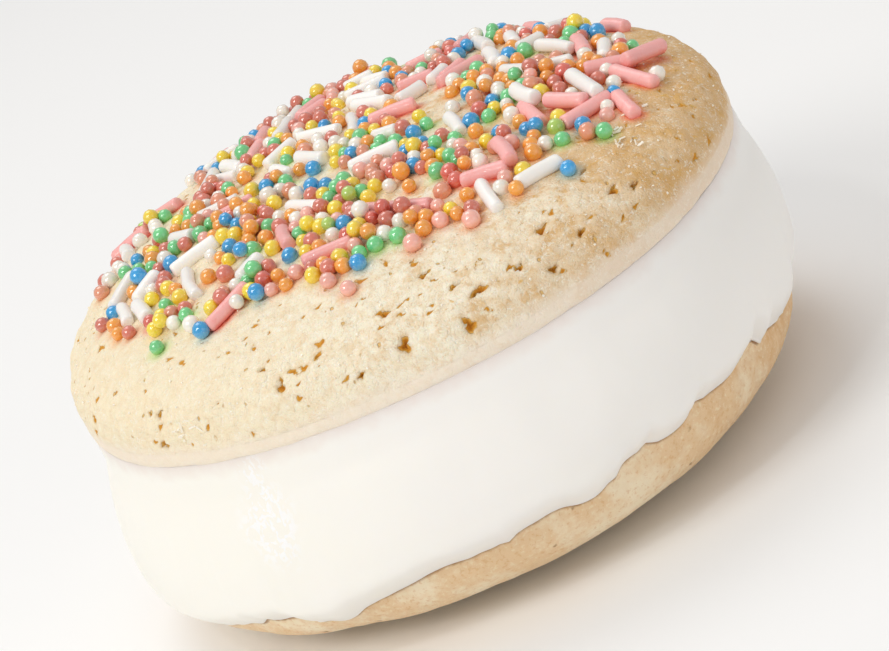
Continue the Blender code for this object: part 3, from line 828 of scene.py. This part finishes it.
def make_ice_cream():
    piece, ring = turned_skin("ice_cream_slab", ice_section, ICE_SPOKES)
    mesh = piece.data
    places = readings(mesh, "co")
    first = len(ICE_UNDER_SHARES) - 1
    last = first + ICE_SIDE_STEPS * (ICE_SIDE_RINGS + 1)
    fall = np.clip((ring - first) / (last - first), -0.2, 1.2)
    loose = ease(fall, *WAVES_SET_IN) * (1 - ease(fall, *WAVES_END))
    raise_points(mesh, (rough(places, SLAB_WAVES) - SLAB_INSET) * loose)
    store(mesh, "fall", fall)
    mesh.materials.append(ice_cream_finish())
    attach(piece, "root")
    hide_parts("ice_cream")
    return piece


# Lower cookie

SHOULDER_SHARES = (0, 0.35, 0.65, 0.85, 0.93, 0.97, 0.99)
BELLY_SPLIT = 0.86
BELLY_SHARES = arc_shares(BASE_BELLY, BASE_BELLY_FULLNESS, BASE_RADIUS, 0, BELLY_SPLIT, 26)[:-1]
BELLY_SHARES += arc_shares(BASE_BELLY, BASE_BELLY_FULLNESS, BASE_RADIUS, BELLY_SPLIT, 1, 58)
BELLY_SHARES.reverse()

# Its relief fades out towards the floor and towards the waist, which the ice cream covers
RELIEF_FROM_FLOOR = (0.0001, 0.0012)
RELIEF_TO_WAIST = (0.0095, 0.0100)


def base_section(angle):
    reach = base_radius(angle)
    shoulder = [(share * reach, shoulder_height(share)) for share in SHOULDER_SHARES]
    return shoulder + [(share * reach, belly_height(share)) for share in BELLY_SHARES]


def make_bottom_cookie():
    piece, _ = turned_skin("bottom_cookie_skin", base_section, BASE_SPOKES)
    mesh = piece.data
    places = readings(mesh, "co")
    height = places[:, 2]
    bare = ease(height, *RELIEF_FROM_FLOOR) * (1 - ease(height, *RELIEF_TO_WAIST))
    raise_points(mesh, rough(places, BELLY_WAVES) * bare)
    edges = np.array([edge_height(math.tau * spoke / BASE_SPOKES) for spoke in range(BASE_SPOKES)])
    spoke = np.rint(np.arctan2(places[:, 1], places[:, 0]) / math.tau * BASE_SPOKES).astype(int)
    store(mesh, "below_edge", (edges[spoke % BASE_SPOKES] - places[:, 2]) / MM)
    mesh.materials.append(lower_cookie_finish())
    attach(piece, "root")
    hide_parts("bottom_cookie")
    return piece


# Sprinkles

UNEVENNESS = 0.06
UNEVENNESS_TURNS = 2.2
UNEVENNESS_SPREAD = 50
PEARL_CORNERS = 1.03
ROD_SIDES = 12
ROD_SEGMENTS = 4
ROD_END_ROUNDING = 0.20
ROD_END_SHARE = 0.3
ROD_BEND = 0.05
SHADE_SPREAD = 0.08
UNDERSIDE_SHARE = 0.55
UNDERSIDE_FADE = (-0.1, 1.0)
END_SLACK = 0.01

# Roughness and coat of the sugar
PEARL_GLOSS = (0.25, 1.0)
ROD_GLOSS = (0.38, 0.25)


def model_pearl():
    """One pearl, a unit across."""
    nothing_selected()
    bpy.ops.mesh.primitive_ico_sphere_add(subdivisions=2, radius=PEARL_CORNERS / 2, calc_uvs=False)
    pearl = bpy.context.object
    bpy.ops.object.shade_smooth()
    return pearl


def select_edges(piece, wanted):
    """Selects, in edit mode, the edges that are wanted by the heights of their two ends."""
    bpy.ops.object.mode_set(mode="EDIT")
    bpy.ops.mesh.select_mode(type="EDGE")
    bpy.ops.mesh.select_all(action="DESELECT")
    bpy.ops.object.mode_set(mode="OBJECT")
    for edge in piece.data.edges:
        first, second = (piece.data.vertices[point].co.z for point in edge.vertices)
        edge.select = wanted(first, second)
    bpy.ops.object.mode_set(mode="EDIT")


def runs_along(first, second):
    return abs(first - second) > 0.5


def rings_an_end(first, second):
    return abs(first - second) < END_SLACK and abs(abs(first) - 0.5) < END_SLACK


def model_rod():
    """One rod along Z, a unit long and a unit across, with rings round it and rounded ends."""
    nothing_selected()
    bpy.ops.mesh.primitive_cylinder_add(vertices=ROD_SIDES, radius=0.5, depth=1, calc_uvs=False)
    rod = bpy.context.object
    select_edges(rod, runs_along)
    bpy.ops.mesh.subdivide(number_cuts=ROD_SEGMENTS - 1)
    bpy.ops.object.mode_set(mode="OBJECT")
    select_edges(rod, rings_an_end)
    bpy.ops.mesh.bevel(offset=ROD_END_ROUNDING, segments=2)
    bpy.ops.object.mode_set(mode="OBJECT")
    bpy.ops.object.shade_smooth()
    return rod


def rod_places(shape, sprinkle, draw):
    """A rod's points: its halves drawn apart to its length, and a slight bend."""
    size, straight = sprinkle["size"], sprinkle["length"] - sprinkle["size"]
    bend = draw.uniform(-ROD_BEND, ROD_BEND) * sprinkle["length"]
    apart = np.clip(shape[:, 2] / ROD_END_SHARE, -1, 1)
    drawn = shape * size
    drawn[:, 2] += apart * straight / 2
    drawn[:, 0] += bend * (1 - apart**2)
    return drawn


def sprinkle_copy(model, sprinkle, draw):
    """A copy of the modelled pearl or rod with its own mesh, unevenness, place and colour."""
    mesh = model.data.copy()
    shape = readings(mesh, "co")
    first, last = sprinkle["beads"][0], sprinkle["beads"][-1]
    phase = Vector([draw.uniform(0, UNEVENNESS_SPREAD) for _ in range(3)])
    waves = [noise.noise(Vector(point) * UNEVENNESS_TURNS + phase) for point in shape]
    swelling = 1 + UNEVENNESS * np.array(waves)[:, None]
    if sprinkle["length"]:
        turn = (last - first).to_track_quat("Z", "Y").to_matrix()
        down = -np.array(turn)[2, :2] @ shape[:, :2].T * 2
        shape = rod_places(shape, sprinkle, draw) * swelling
    else:
        turn = Matrix.Rotation(draw.uniform(0, math.tau), 3, phase)
        down = -np.array(turn)[2] @ shape.T * 2
        shape = shape * swelling * sprinkle["size"]
    move_points(mesh, shape @ np.array(turn).T + np.array((first + last) / 2))
    shade = 1 + draw.uniform(-SHADE_SPREAD, SHADE_SPREAD)
    tint = [min(1.0, level * shade) for level in SUGAR_COLOURS[sprinkle["colour"]]]
    low = UNDERSIDE_SHARE * ease(down, *UNDERSIDE_FADE)[:, None]
    tints = np.array(tint) * (1 - low) + np.array(STAINS[sprinkle["colour"]][1]) * low
    store(mesh, "tint", np.column_stack((tints, np.ones(len(tints)))))
    copy = bpy.data.objects.new("sprinkle", mesh)
    bpy.context.scene.collection.objects.link(copy)
    return copy


def joined(name, copies, finish):
    """All copies as one piece with one finish."""
    nothing_selected()
    for copy in copies:
        copy.select_set(True)
    bpy.context.view_layer.objects.active = copies[0]
    bpy.ops.object.join()
    piece = bpy.context.object
    piece.name = piece.data.name = name
    piece.data.materials.clear()
    piece.data.materials.append(finish)
    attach(piece, "root")
    return piece


def make_sprinkles(sprinkles):
    draw = random.Random(COLOUR_SEED + 1)
    pearl, rod = model_pearl(), model_rod()
    pearls = [sprinkle_copy(pearl, sprinkle, draw) for sprinkle in sprinkles if not sprinkle["length"]]
    rods = [sprinkle_copy(rod, sprinkle, draw) for sprinkle in sprinkles if sprinkle["length"]]
    for model in (pearl, rod):
        bpy.data.objects.remove(model)
    joined("sugar_pearls", pearls, sprinkle_finish("sugar_pearl", *PEARL_GLOSS))
    joined("sugar_rods", rods, sprinkle_finish("sugar_rod", *ROD_GLOSS))


# Grains of sugar baked into the crumb, and a few loose flakes of crumb

GRAIN_SEED = 77
GRAINS = 340
GRAIN_SIZE = (0.00010, 0.00022)
GRAIN_ARC = (0.30, 0.98)
GRAIN_CORNERS = 0.16
FLAKE_LENGTH = (0.00050, 0.00110)

# Where flakes lie together: direction in degrees, share of the crown's arc, how many,
# and how far they are spread both ways
FLAKE_BANKS = ((-43, 0.64, 13), (-39, 0.56, 5), (-134, 0.91, 8), (150, 0.80, 8))
FLAKE_SPREAD = (2.2, 0.03)


def model_grain():
    """One blunt crystal, a unit across: a cube with its corners cut."""
    nothing_selected()
    bpy.ops.mesh.primitive_cube_add(size=1, calc_uvs=False)
    grain = bpy.context.object
    bpy.ops.object.mode_set(mode="EDIT")
    bpy.ops.mesh.select_all(action="SELECT")
    bpy.ops.mesh.bevel(offset=GRAIN_CORNERS, segments=1, affect="VERTICES")
    bpy.ops.object.mode_set(mode="OBJECT")
    return grain


def grain_copy(model, centre, size, draw):
    """A copy of the modelled crystal, turned at random, its three sides given in metres."""
    mesh = model.data.copy()
    axis = Vector((draw.uniform(-1, 1), draw.uniform(-1, 1), draw.uniform(-1, 1)))
    turn = Matrix.Rotation(draw.uniform(0, math.tau), 3, axis)
    move_points(mesh, (readings(mesh, "co") * size) @ np.array(turn).T + np.array(centre))
    copy = bpy.data.objects.new("grain", mesh)
    bpy.context.scene.collection.objects.link(copy)
    return copy


def make_grains():
    draw = random.Random(GRAIN_SEED)
    model = model_grain()
    copies = []
    for _ in range(GRAINS):
        centre, _, _ = pit_place(draw.uniform(-180, 180), draw.uniform(*GRAIN_ARC))
        size = [draw.uniform(*GRAIN_SIZE) for _ in range(3)]
        copies.append(grain_copy(model, centre, size, draw))
    for direction, arc, count in FLAKE_BANKS:
        for _ in range(count):
            turned, raised = (draw.gauss(*both) for both in zip((direction, arc), FLAKE_SPREAD))
            centre, _, _ = pit_place(turned, raised)
            size = [draw.uniform(*each) for each in (FLAKE_LENGTH, GRAIN_SIZE, GRAIN_SIZE)]
            copies.append(grain_copy(model, centre, size, draw))
    bpy.data.objects.remove(model)
    joined("sugar_grains", copies, grain_finish())


# Finishes

class Wire:
    """A shader socket that can be used in sums: each sum adds its Math nodes."""

    def __init__(self, finish, socket):
        self.finish = finish
        self.socket = socket

    def maths(self, operation, first, second):
        return self.finish.node("Math", {"operation": operation}, {0: first, 1: second})

    def __add__(self, other):
        return self.maths("ADD", self, other)

    def __radd__(self, other):
        return self.maths("ADD", other, self)

    def __sub__(self, other):
        return self.maths("SUBTRACT", self, other)

    def __rsub__(self, other):
        return self.maths("SUBTRACT", other, self)

    def __mul__(self, other):
        return self.maths("MULTIPLY", self, other)

    def __rmul__(self, other):
        return self.maths("MULTIPLY", other, self)


class Finish:
    """One material with the nodes that paint it."""

    def __init__(self, name):
        self.material = bpy.data.materials.new(name)
        self.material.use_nodes = True
        self.tree = self.material.node_tree
        self.shader = self.tree.nodes["Principled BSDF"]

    def feed(self, socket, value):
        if isinstance(value, Wire):
            self.tree.links.new(value.socket, socket)
        elif socket.type == "RGBA":
            socket.default_value = (*value, 1)
        else:
            socket.default_value = value

    def node(self, kind, settings=None, sockets=None, output=0):
        node = self.tree.nodes.new("ShaderNode" + kind)
        for name, value in (settings or {}).items():
            setattr(node, name, value)
        for name, value in (sockets or {}).items():
            self.feed(node.inputs[name], value)
        return Wire(self, node.outputs[output])

    def surface(self, **sockets):
        for name, value in sockets.items():
            self.feed(self.shader.inputs[name.replace("_", " ")], value)

    def place(self):
        """Where a point of the surface is, in millimetres."""
        metres = self.node("TexCoord", output="Object")
        return self.node("VectorMath", {"operation": "SCALE"}, {"Vector": metres, "Scale": 1000})

    def axes(self, place):
        split = self.node("SeparateXYZ", sockets={"Vector": place})
        return tuple(Wire(self, output) for output in split.socket.node.outputs)

    def reading(self, name, output="Fac"):
        return self.node("Attribute", {"attribute_name": name}, output=output)

    def clouds(self, place, length, detail=2, roughness=0.5, distortion=0.0):
        """Noise whose lumps are about so many millimetres across."""
        sockets = {"Vector": place, "Scale": 1 / length, "Detail": detail}
        sockets.update({"Roughness": roughness, "Distortion": distortion})
        return self.node("TexNoise", sockets=sockets)

    def cells(self, place, length):
        """Distance from the middles of cells about so many millimetres across."""
        return self.node("TexVoronoi", sockets={"Vector": place, "Scale": 1 / length})

    def distance(self, place, centre):
        sockets = {0: place, 1: tuple(centre)}
        return self.node("VectorMath", {"operation": "DISTANCE"}, sockets, output="Value")

    def between(self, value, low, high):
        """0 at low and 1 at high, with a soft passage."""
        settings = {"interpolation_type": "SMOOTHSTEP"}
        return self.node("MapRange", settings, {"Value": value, "From Min": low, "From Max": high})

    def mix(self, share, first, second, blend="MIX"):
        settings = {"data_type": "RGBA", "blend_type": blend}
        return self.node("Mix", settings, {0: share, 6: first, 7: second}, output=2)

    def swirled(self, place, length, reach):
        """The place pushed about by noise, by up to so many millimetres."""
        sockets = {"Vector": place, "Scale": 1 / length, "Detail": 2}
        push = self.node("TexNoise", sockets=sockets, output=1)
        push = self.node("VectorMath", {"operation": "SUBTRACT"}, {0: push, 1: (0.5, 0.5, 0.5)})
        push = self.node("VectorMath", {"operation": "SCALE"}, {"Vector": push, "Scale": 2 * reach})
        return self.node("VectorMath", {"operation": "ADD"}, {0: place, 1: push})

    def stretched(self, place, factors):
        return self.node("VectorMath", {"operation": "MULTIPLY"}, {0: place, 1: factors})

    def relief(self, height, depth, under=None):
        """A bump of so many millimetres."""
        sockets = {"Height": height, "Distance": depth * MM}
        if under:
            sockets["Normal"] = under
        return self.node("Bump", sockets=sockets)


CREAM = srgb(251, 241, 217)
PEACH = srgb(249, 234, 202)
FLAKE = srgb(255, 249, 234)
TAN = srgb(221, 176, 116)
GOLD = srgb(220, 171, 96)
ROSE_TAN = srgb(245, 231, 214)
PIT_RIM = srgb(228, 180, 94)
PIT_AMBER = srgb(220, 152, 48)
PIT_DARK = srgb(206, 130, 36)


def sugar_cookie_finish():
    """Pale crumb, tanned towards the right and the rim, with ochre pits and cracks."""
    paint = Finish("sugar_cookie")
    place = paint.place()
    x, _, _ = paint.axes(place)
    fall = paint.reading("fall")
    hollow = paint.reading("hollow")

    blotches = paint.clouds(place, 8, detail=2)
    mottle = paint.clouds(place, 2.6, detail=3, roughness=0.62)
    swirl = paint.swirled(place, 1.2, 0.35)
    crumb = paint.clouds(swirl, 0.8, detail=3, roughness=0.68)
    grain = paint.clouds(place, 0.20, detail=2, roughness=0.65)
    busy = 0.45 + 0.55 * paint.between(x, -26, 4)
    flakes = paint.cells(swirl, 1.15)

    tanned = paint.between(x * 0.026 + blotches * 1.0 + mottle * 0.7, 0.78, 1.75)
    colour = paint.mix(paint.between(x, 6, -32), CREAM, PEACH)
    colour = paint.mix(tanned * 0.85, colour, TAN)
    streaks = paint.between(mottle + 0.3 * crumb, 0.66, 0.84) * paint.between(x, -24, 16)
    colour = paint.mix(streaks * 0.60, colour, GOLD)
    colour = paint.mix(paint.between(flakes + 0.35 * crumb, 0.58, 0.86) * 0.20 * busy, colour, GOLD)
    colour = paint.mix(paint.between(crumb * 0.5 + grain * 0.5, 0.54, 0.64) * 0.32 * busy, colour, GOLD)
    colour = paint.mix(paint.between(crumb * 0.5 + grain * 0.5, 0.47, 0.37) * 0.55, colour, FLAKE)
    rim_band = paint.between(fall + blotches * 0.10, 0.99, 1.09)
    colour = paint.mix(rim_band * 0.70, colour, ROSE_TAN)

    crumbly = paint.between(fall, 1.01, 0.92)
    ragged = hollow + 0.34 * (paint.clouds(place, 0.5, detail=2) - 0.5)
    slit = paint.cells(paint.stretched(swirl, (1.0, 1.0, 0.55)), 1.7)
    chosen = paint.between(paint.clouds(place, 1.9, detail=1), 0.47, 0.53) * crumbly
    slits = paint.between(slit, 0.150, 0.095) * chosen
    bend = paint.clouds(place, 4.2, detail=1, distortion=0.5) - 0.5
    bend = paint.node("Math", {"operation": "ABSOLUTE"}, {0: bend})
    cracked = paint.between(paint.clouds(place, 1.7, detail=1), 0.62, 0.66)
    cracks = paint.between(bend, 0.022, 0.010) * cracked * crumbly * paint.between(x, -16, 6)
    pit = paint.between(ragged, 0.02, 0.10)
    halo = paint.between(ragged, -0.60, 0.05) * 0.30
    colour = paint.mix(halo, colour, GOLD)
    colour = paint.mix(slits * 0.85, colour, PIT_RIM)
    colour = paint.mix(cracks * 0.70, colour, PIT_RIM)
    amber = paint.mix(paint.between(ragged, 0.08, 0.34), PIT_RIM, PIT_AMBER)
    amber = paint.mix(paint.between(ragged + 0.3 * crumb, 0.62, 0.95), amber, PIT_DARK)
    colour = paint.mix(pit, colour, amber)

    stain = paint.reading("stain", "Color")
    stained = paint.reading("stain", "Alpha") * (0.70 + 0.6 * mottle)
    colour = paint.mix(stained, colour, stain)

    height = 0.50 * crumb + 0.26 * grain + 0.45 * mottle - 0.25 * flakes
    height = height - 0.35 * slits - 0.3 * pit
    paint.surface(
        Base_Color=colour,
        Roughness=0.60 + 0.25 * crumb - 0.10 * rim_band,
        Normal=paint.relief(height * (1 - 0.55 * rim_band), 0.48),
        Subsurface_Weight=0.12,
        Subsurface_Radius=(1.0, 0.60, 0.35),
        Subsurface_Scale=0.0007,
        IOR=1.4,
    )
    return paint.material


LOWER_TAN = srgb(236, 204, 162)
LOWER_PALE = srgb(246, 229, 198)
LOWER_BROWN = srgb(217, 166, 106)
PORE_BROWN = srgb(158, 108, 52)
# Dark brown of the painted shadow line under the ice cream's edge, partly damp crumb
SHADOW_AND_DAMP_BROWN = srgb(148, 96, 48)


def lower_cookie_finish():
    """A smoother, more evenly tanned skin with pale clouds and a few dark pores, paler towards the floor as
    painted light, and a painted shadow line, partly damp crumb, under the ice cream's edge.
    """
    paint = Finish("lower_cookie")
    place = paint.place()
    x, _, z = paint.axes(place)
    blotches = paint.clouds(place, 6, detail=4, roughness=0.6)
    mottle = paint.clouds(place, 1.6, detail=4, roughness=0.6)
    grain = paint.clouds(place, 0.25, detail=3)
    colour = paint.mix(paint.between(blotches * 0.7 + mottle * 0.3, 0.46, 0.62), LOWER_TAN, LOWER_PALE)
    colour = paint.mix(paint.between(x * 0.012 + mottle, 0.60, 1.05) * 0.6, colour, LOWER_BROWN)
    speckles = paint.clouds(place, 0.55, detail=3, roughness=0.7)
    colour = paint.mix(paint.between(speckles, 0.55, 0.66) * 0.42, colour, LOWER_BROWN)
    colour = paint.mix(paint.between(speckles, 0.44, 0.34) * 0.55, colour, LOWER_PALE)
    # Painted light: paler towards the floor, lifting the shade that falls where the cookie meets the floor
    colour = paint.mix(paint.between(z - 2.4 * mottle, 3.6, -0.6) * 0.55, colour, LOWER_PALE)
    pores = paint.cells(paint.swirled(place, 0.9, 0.3), 3.1)
    pores = paint.between(pores + 0.10 * grain, 0.17, 0.11) * paint.between(blotches, 0.44, 0.50)
    colour = paint.mix(pores * 0.8, colour, PORE_BROWN)
    # Painted shadow line, partly damp crumb: darker brown just below the ice cream's edge
    below_edge = paint.reading("below_edge") + 0.25 * (paint.clouds(place, 0.8) - 0.5)
    colour = paint.mix(paint.between(below_edge, 0.42, 0.05) * 0.75, colour, SHADOW_AND_DAMP_BROWN)
    height = 0.5 * mottle + 0.3 * speckles + 0.2 * grain - 0.8 * pores
    paint.surface(
        Base_Color=colour,
        Roughness=0.58 + 0.2 * grain,
        Normal=paint.relief(height, 0.24),
        Subsurface_Weight=0.12,
        Subsurface_Radius=(1.0, 0.55, 0.30),
        Subsurface_Scale=0.0008,
        IOR=1.4,
    )
    return paint.material


VANILLA = srgb(250, 246, 241)
# Warmer cream: partly the ice cream's own tone, partly painted warm light on the left
VANILLA_LIT_WARM_CREAM = srgb(252, 248, 238)
ROSE_MILK = srgb(240, 222, 212)
WET_PATCH = Vector((-22.3, -30.2, 19.8))
WET_PATCH_REACH = Vector((0.27, 0.27, 0.12))
# Painted highlight: the white of the glints painted on the wet patch
PAINTED_GLINT_WHITE = srgb(255, 255, 255)
NICK_PLACE = Vector((24.6, -28.0, 13.4))


def ice_cream_finish():
    """Smooth half melted vanilla, wet and wrinkled in one place with painted white glints there as a painted
    highlight, and warmer cream clouds towards the left, partly painted warm light.
    """
    paint = Finish("vanilla_ice_cream")
    place = paint.place()
    x, _, _ = paint.axes(place)
    fall = paint.reading("fall")
    clouds = paint.clouds(place, 14, detail=2)
    # Warmer cream in clouds, more of it to the left: partly the ice cream's own tone, partly painted warm
    # light where the key light falls
    cream_and_lit_warmth = paint.between(x * 0.02 - clouds, -0.45, -1.15)
    colour = paint.mix(cream_and_lit_warmth, VANILLA, VANILLA_LIT_WARM_CREAM)
    smear = paint.between(fall + 0.06 * paint.clouds(place, 1.5), 0.12, 0.02)
    colour = paint.mix(smear * 0.65, colour, ROSE_MILK)

    away = paint.node("VectorMath", {"operation": "SUBTRACT"}, {0: place, 1: tuple(WET_PATCH)})
    away = paint.stretched(away, tuple(WET_PATCH_REACH))
    reach = paint.node("VectorMath", {"operation": "LENGTH"}, {0: away}, output="Value")
    wet = paint.between(reach + 0.9 * paint.clouds(place, 3.0, detail=3), 1.45, 0.75)
    nick = paint.between(paint.distance(place, NICK_PLACE), 1.6, 0.7)
    wet = paint.node("Math", {"operation": "MAXIMUM"}, {0: wet, 1: nick})
    wrinkles = paint.clouds(paint.stretched(place, (1, 1, 0.7)), 0.7, detail=3, distortion=1.0)
    # Painted highlight: white glints painted into the colour over the wet wrinkles and the nick; the same
    # mask also lowers the roughness there
    painted_glints = wet * paint.between(wrinkles, 0.50, 0.56)
    colour = paint.mix(painted_glints * 0.9, colour, PAINTED_GLINT_WHITE)
    ripples = paint.clouds(place, 5, detail=2)
    normal = paint.relief(ripples, 0.12)
    normal = paint.relief(wrinkles * wet, 0.10, normal)
    paint.surface(
        Base_Color=colour,
        Roughness=0.44 - 0.14 * painted_glints + 0.08 * clouds,
        Normal=normal,
        Subsurface_Weight=0.3,
        Subsurface_Radius=(1.0, 0.90, 0.78),
        Subsurface_Scale=0.0018,
        IOR=1.38,
    )
    return paint.material


SUGAR_SHINE = srgb(255, 250, 240)
GRAIN_CLEAR = srgb(255, 253, 246)
GRAIN_YELLOW = srgb(252, 240, 214)


def sprinkle_finish(name, roughness, polish):
    """Coloured sugar with a polished, slightly grainy shell."""
    paint = Finish(name)
    place = paint.place()
    tint = paint.reading("tint", "Color")
    clouds = paint.clouds(place, 0.9, detail=2)
    grain = paint.clouds(place, 0.16, detail=2)
    colour = paint.mix(paint.between(grain, 0.54, 0.74) * 0.12, tint, SUGAR_SHINE)
    colour = paint.mix(paint.between(clouds, 0.56, 0.74) * 0.22, colour, tint, "MULTIPLY")
    paint.surface(
        Base_Color=colour,
        Roughness=roughness + 0.16 * clouds,
        Normal=paint.relief(0.8 * clouds + 0.2 * grain, 0.03),
        Subsurface_Weight=0.18,
        Subsurface_Radius=(1.0, 0.8, 0.6),
        Subsurface_Scale=0.0005,
        Coat_Weight=polish,
        Coat_Roughness=0.04,
        Coat_IOR=1.8,
    )
    return paint.material


def grain_finish():
    """Clear glittering sugar, a little yellow where it is thick."""
    paint = Finish("sugar_grain")
    place = paint.place()
    clouds = paint.clouds(place, 0.6)
    paint.surface(
        Base_Color=paint.mix(clouds, GRAIN_CLEAR, GRAIN_YELLOW),
        Roughness=0.12 + 0.15 * clouds,
    )
    return paint.material


# Stage, light and camera

FLOOR_SIZE = 3.0
FLOOR_WHITE = srgb(250, 250, 249)
FLOOR_GREY = srgb(247, 247, 247)
FLOOR_CLOUDS = 400
SKY_COLOUR = (1.0, 0.985, 0.972, 1)
SKY_STRENGTH = 0.56


def make_floor():
    nothing_selected()
    bpy.ops.mesh.primitive_plane_add(size=FLOOR_SIZE)
    floor = bpy.context.object
    floor.name = "floor"
    paint = Finish("pale_floor")
    soft = paint.clouds(paint.place(), FLOOR_CLOUDS)
    paint.surface(Base_Color=paint.mix(soft, FLOOR_WHITE, FLOOR_GREY), Roughness=0.9)
    floor.data.materials.append(paint.material)


# Softboxes: direction from the sandwich, distance and width in metres, power in watts, colour
SOFTBOXES = (
    ("key", (-0.75, -0.50, 0.80), 0.70, 0.30, 1.45, (1.0, 0.985, 0.955)),
    ("glint", (-0.42, -0.60, 1.00), 0.70, 0.06, 0.30, (1.0, 1.0, 1.0)),
    ("fill", (0.60, -0.80, 0.22), 0.90, 0.60, 0.55, (1.0, 0.985, 0.97)),
    ("top", (-0.1, 0.5, 1.0), 0.80, 0.50, 1.5, (1.0, 1.0, 1.0)),
)


def make_softboxes():
    for name, direction, distance, width, power, colour in SOFTBOXES:
        direction = Vector(direction).normalized()
        lamp = bpy.data.lights.new(name, "AREA")
        lamp.shape = "DISK"
        lamp.size = width
        lamp.energy = power
        lamp.color = colour
        box = bpy.data.objects.new(name, lamp)
        box.location = CAMERA_TARGET + direction * distance
        box.rotation_mode = "QUATERNION"
        box.rotation_quaternion = direction.to_track_quat("Z", "Y")
        bpy.context.scene.collection.objects.link(box)


def make_sky():
    world = bpy.data.worlds.new("studio")
    world.use_nodes = True
    background = world.node_tree.nodes["Background"]
    background.inputs["Color"].default_value = SKY_COLOUR
    background.inputs["Strength"].default_value = SKY_STRENGTH
    bpy.context.scene.world = world


def make_camera():
    """The photograph's camera: it looks down on the sandwich and is rolled to the left."""
    data = bpy.data.cameras.new("camera")
    data.sensor_width = SENSOR_WIDTH
    data.lens = PHOTO_FOCAL / PHOTO_SIZE.x * SENSOR_WIDTH
    data.shift_x = (PHOTO_SIZE.x / 2 - PHOTO_TARGET.x) / PHOTO_SIZE.x
    data.shift_y = (PHOTO_TARGET.y - PHOTO_SIZE.y / 2) / PHOTO_SIZE.x
    data.clip_start, data.clip_end = CLIP_RANGE
    camera = bpy.data.objects.new("camera", data)
    back = Vector((0, -math.cos(CAMERA_ELEVATION), math.sin(CAMERA_ELEVATION)))
    level_right = Vector((1, 0, 0))
    level_up = back.cross(level_right)
    cosine, sine = math.cos(CAMERA_ROLL), math.sin(CAMERA_ROLL)
    right = level_right * cosine - level_up * sine
    up = level_right * sine + level_up * cosine
    turn = Matrix((right, up, back)).transposed()
    camera.matrix_world = Matrix.Translation(CAMERA_TARGET + back * CAMERA_DISTANCE) @ turn.to_4x4()
    bpy.context.scene.collection.objects.link(camera)
    bpy.context.scene.camera = camera


make_camera()
make_sky()
make_softboxes()
make_floor()
bpy.context.scene.view_settings.view_transform = "Standard"
SPRINKLES = all_sprinkles()
make_bottom_cookie()
make_ice_cream()
make_top_cookie(SPRINKLES)
make_sprinkles(SPRINKLES)
make_grains()
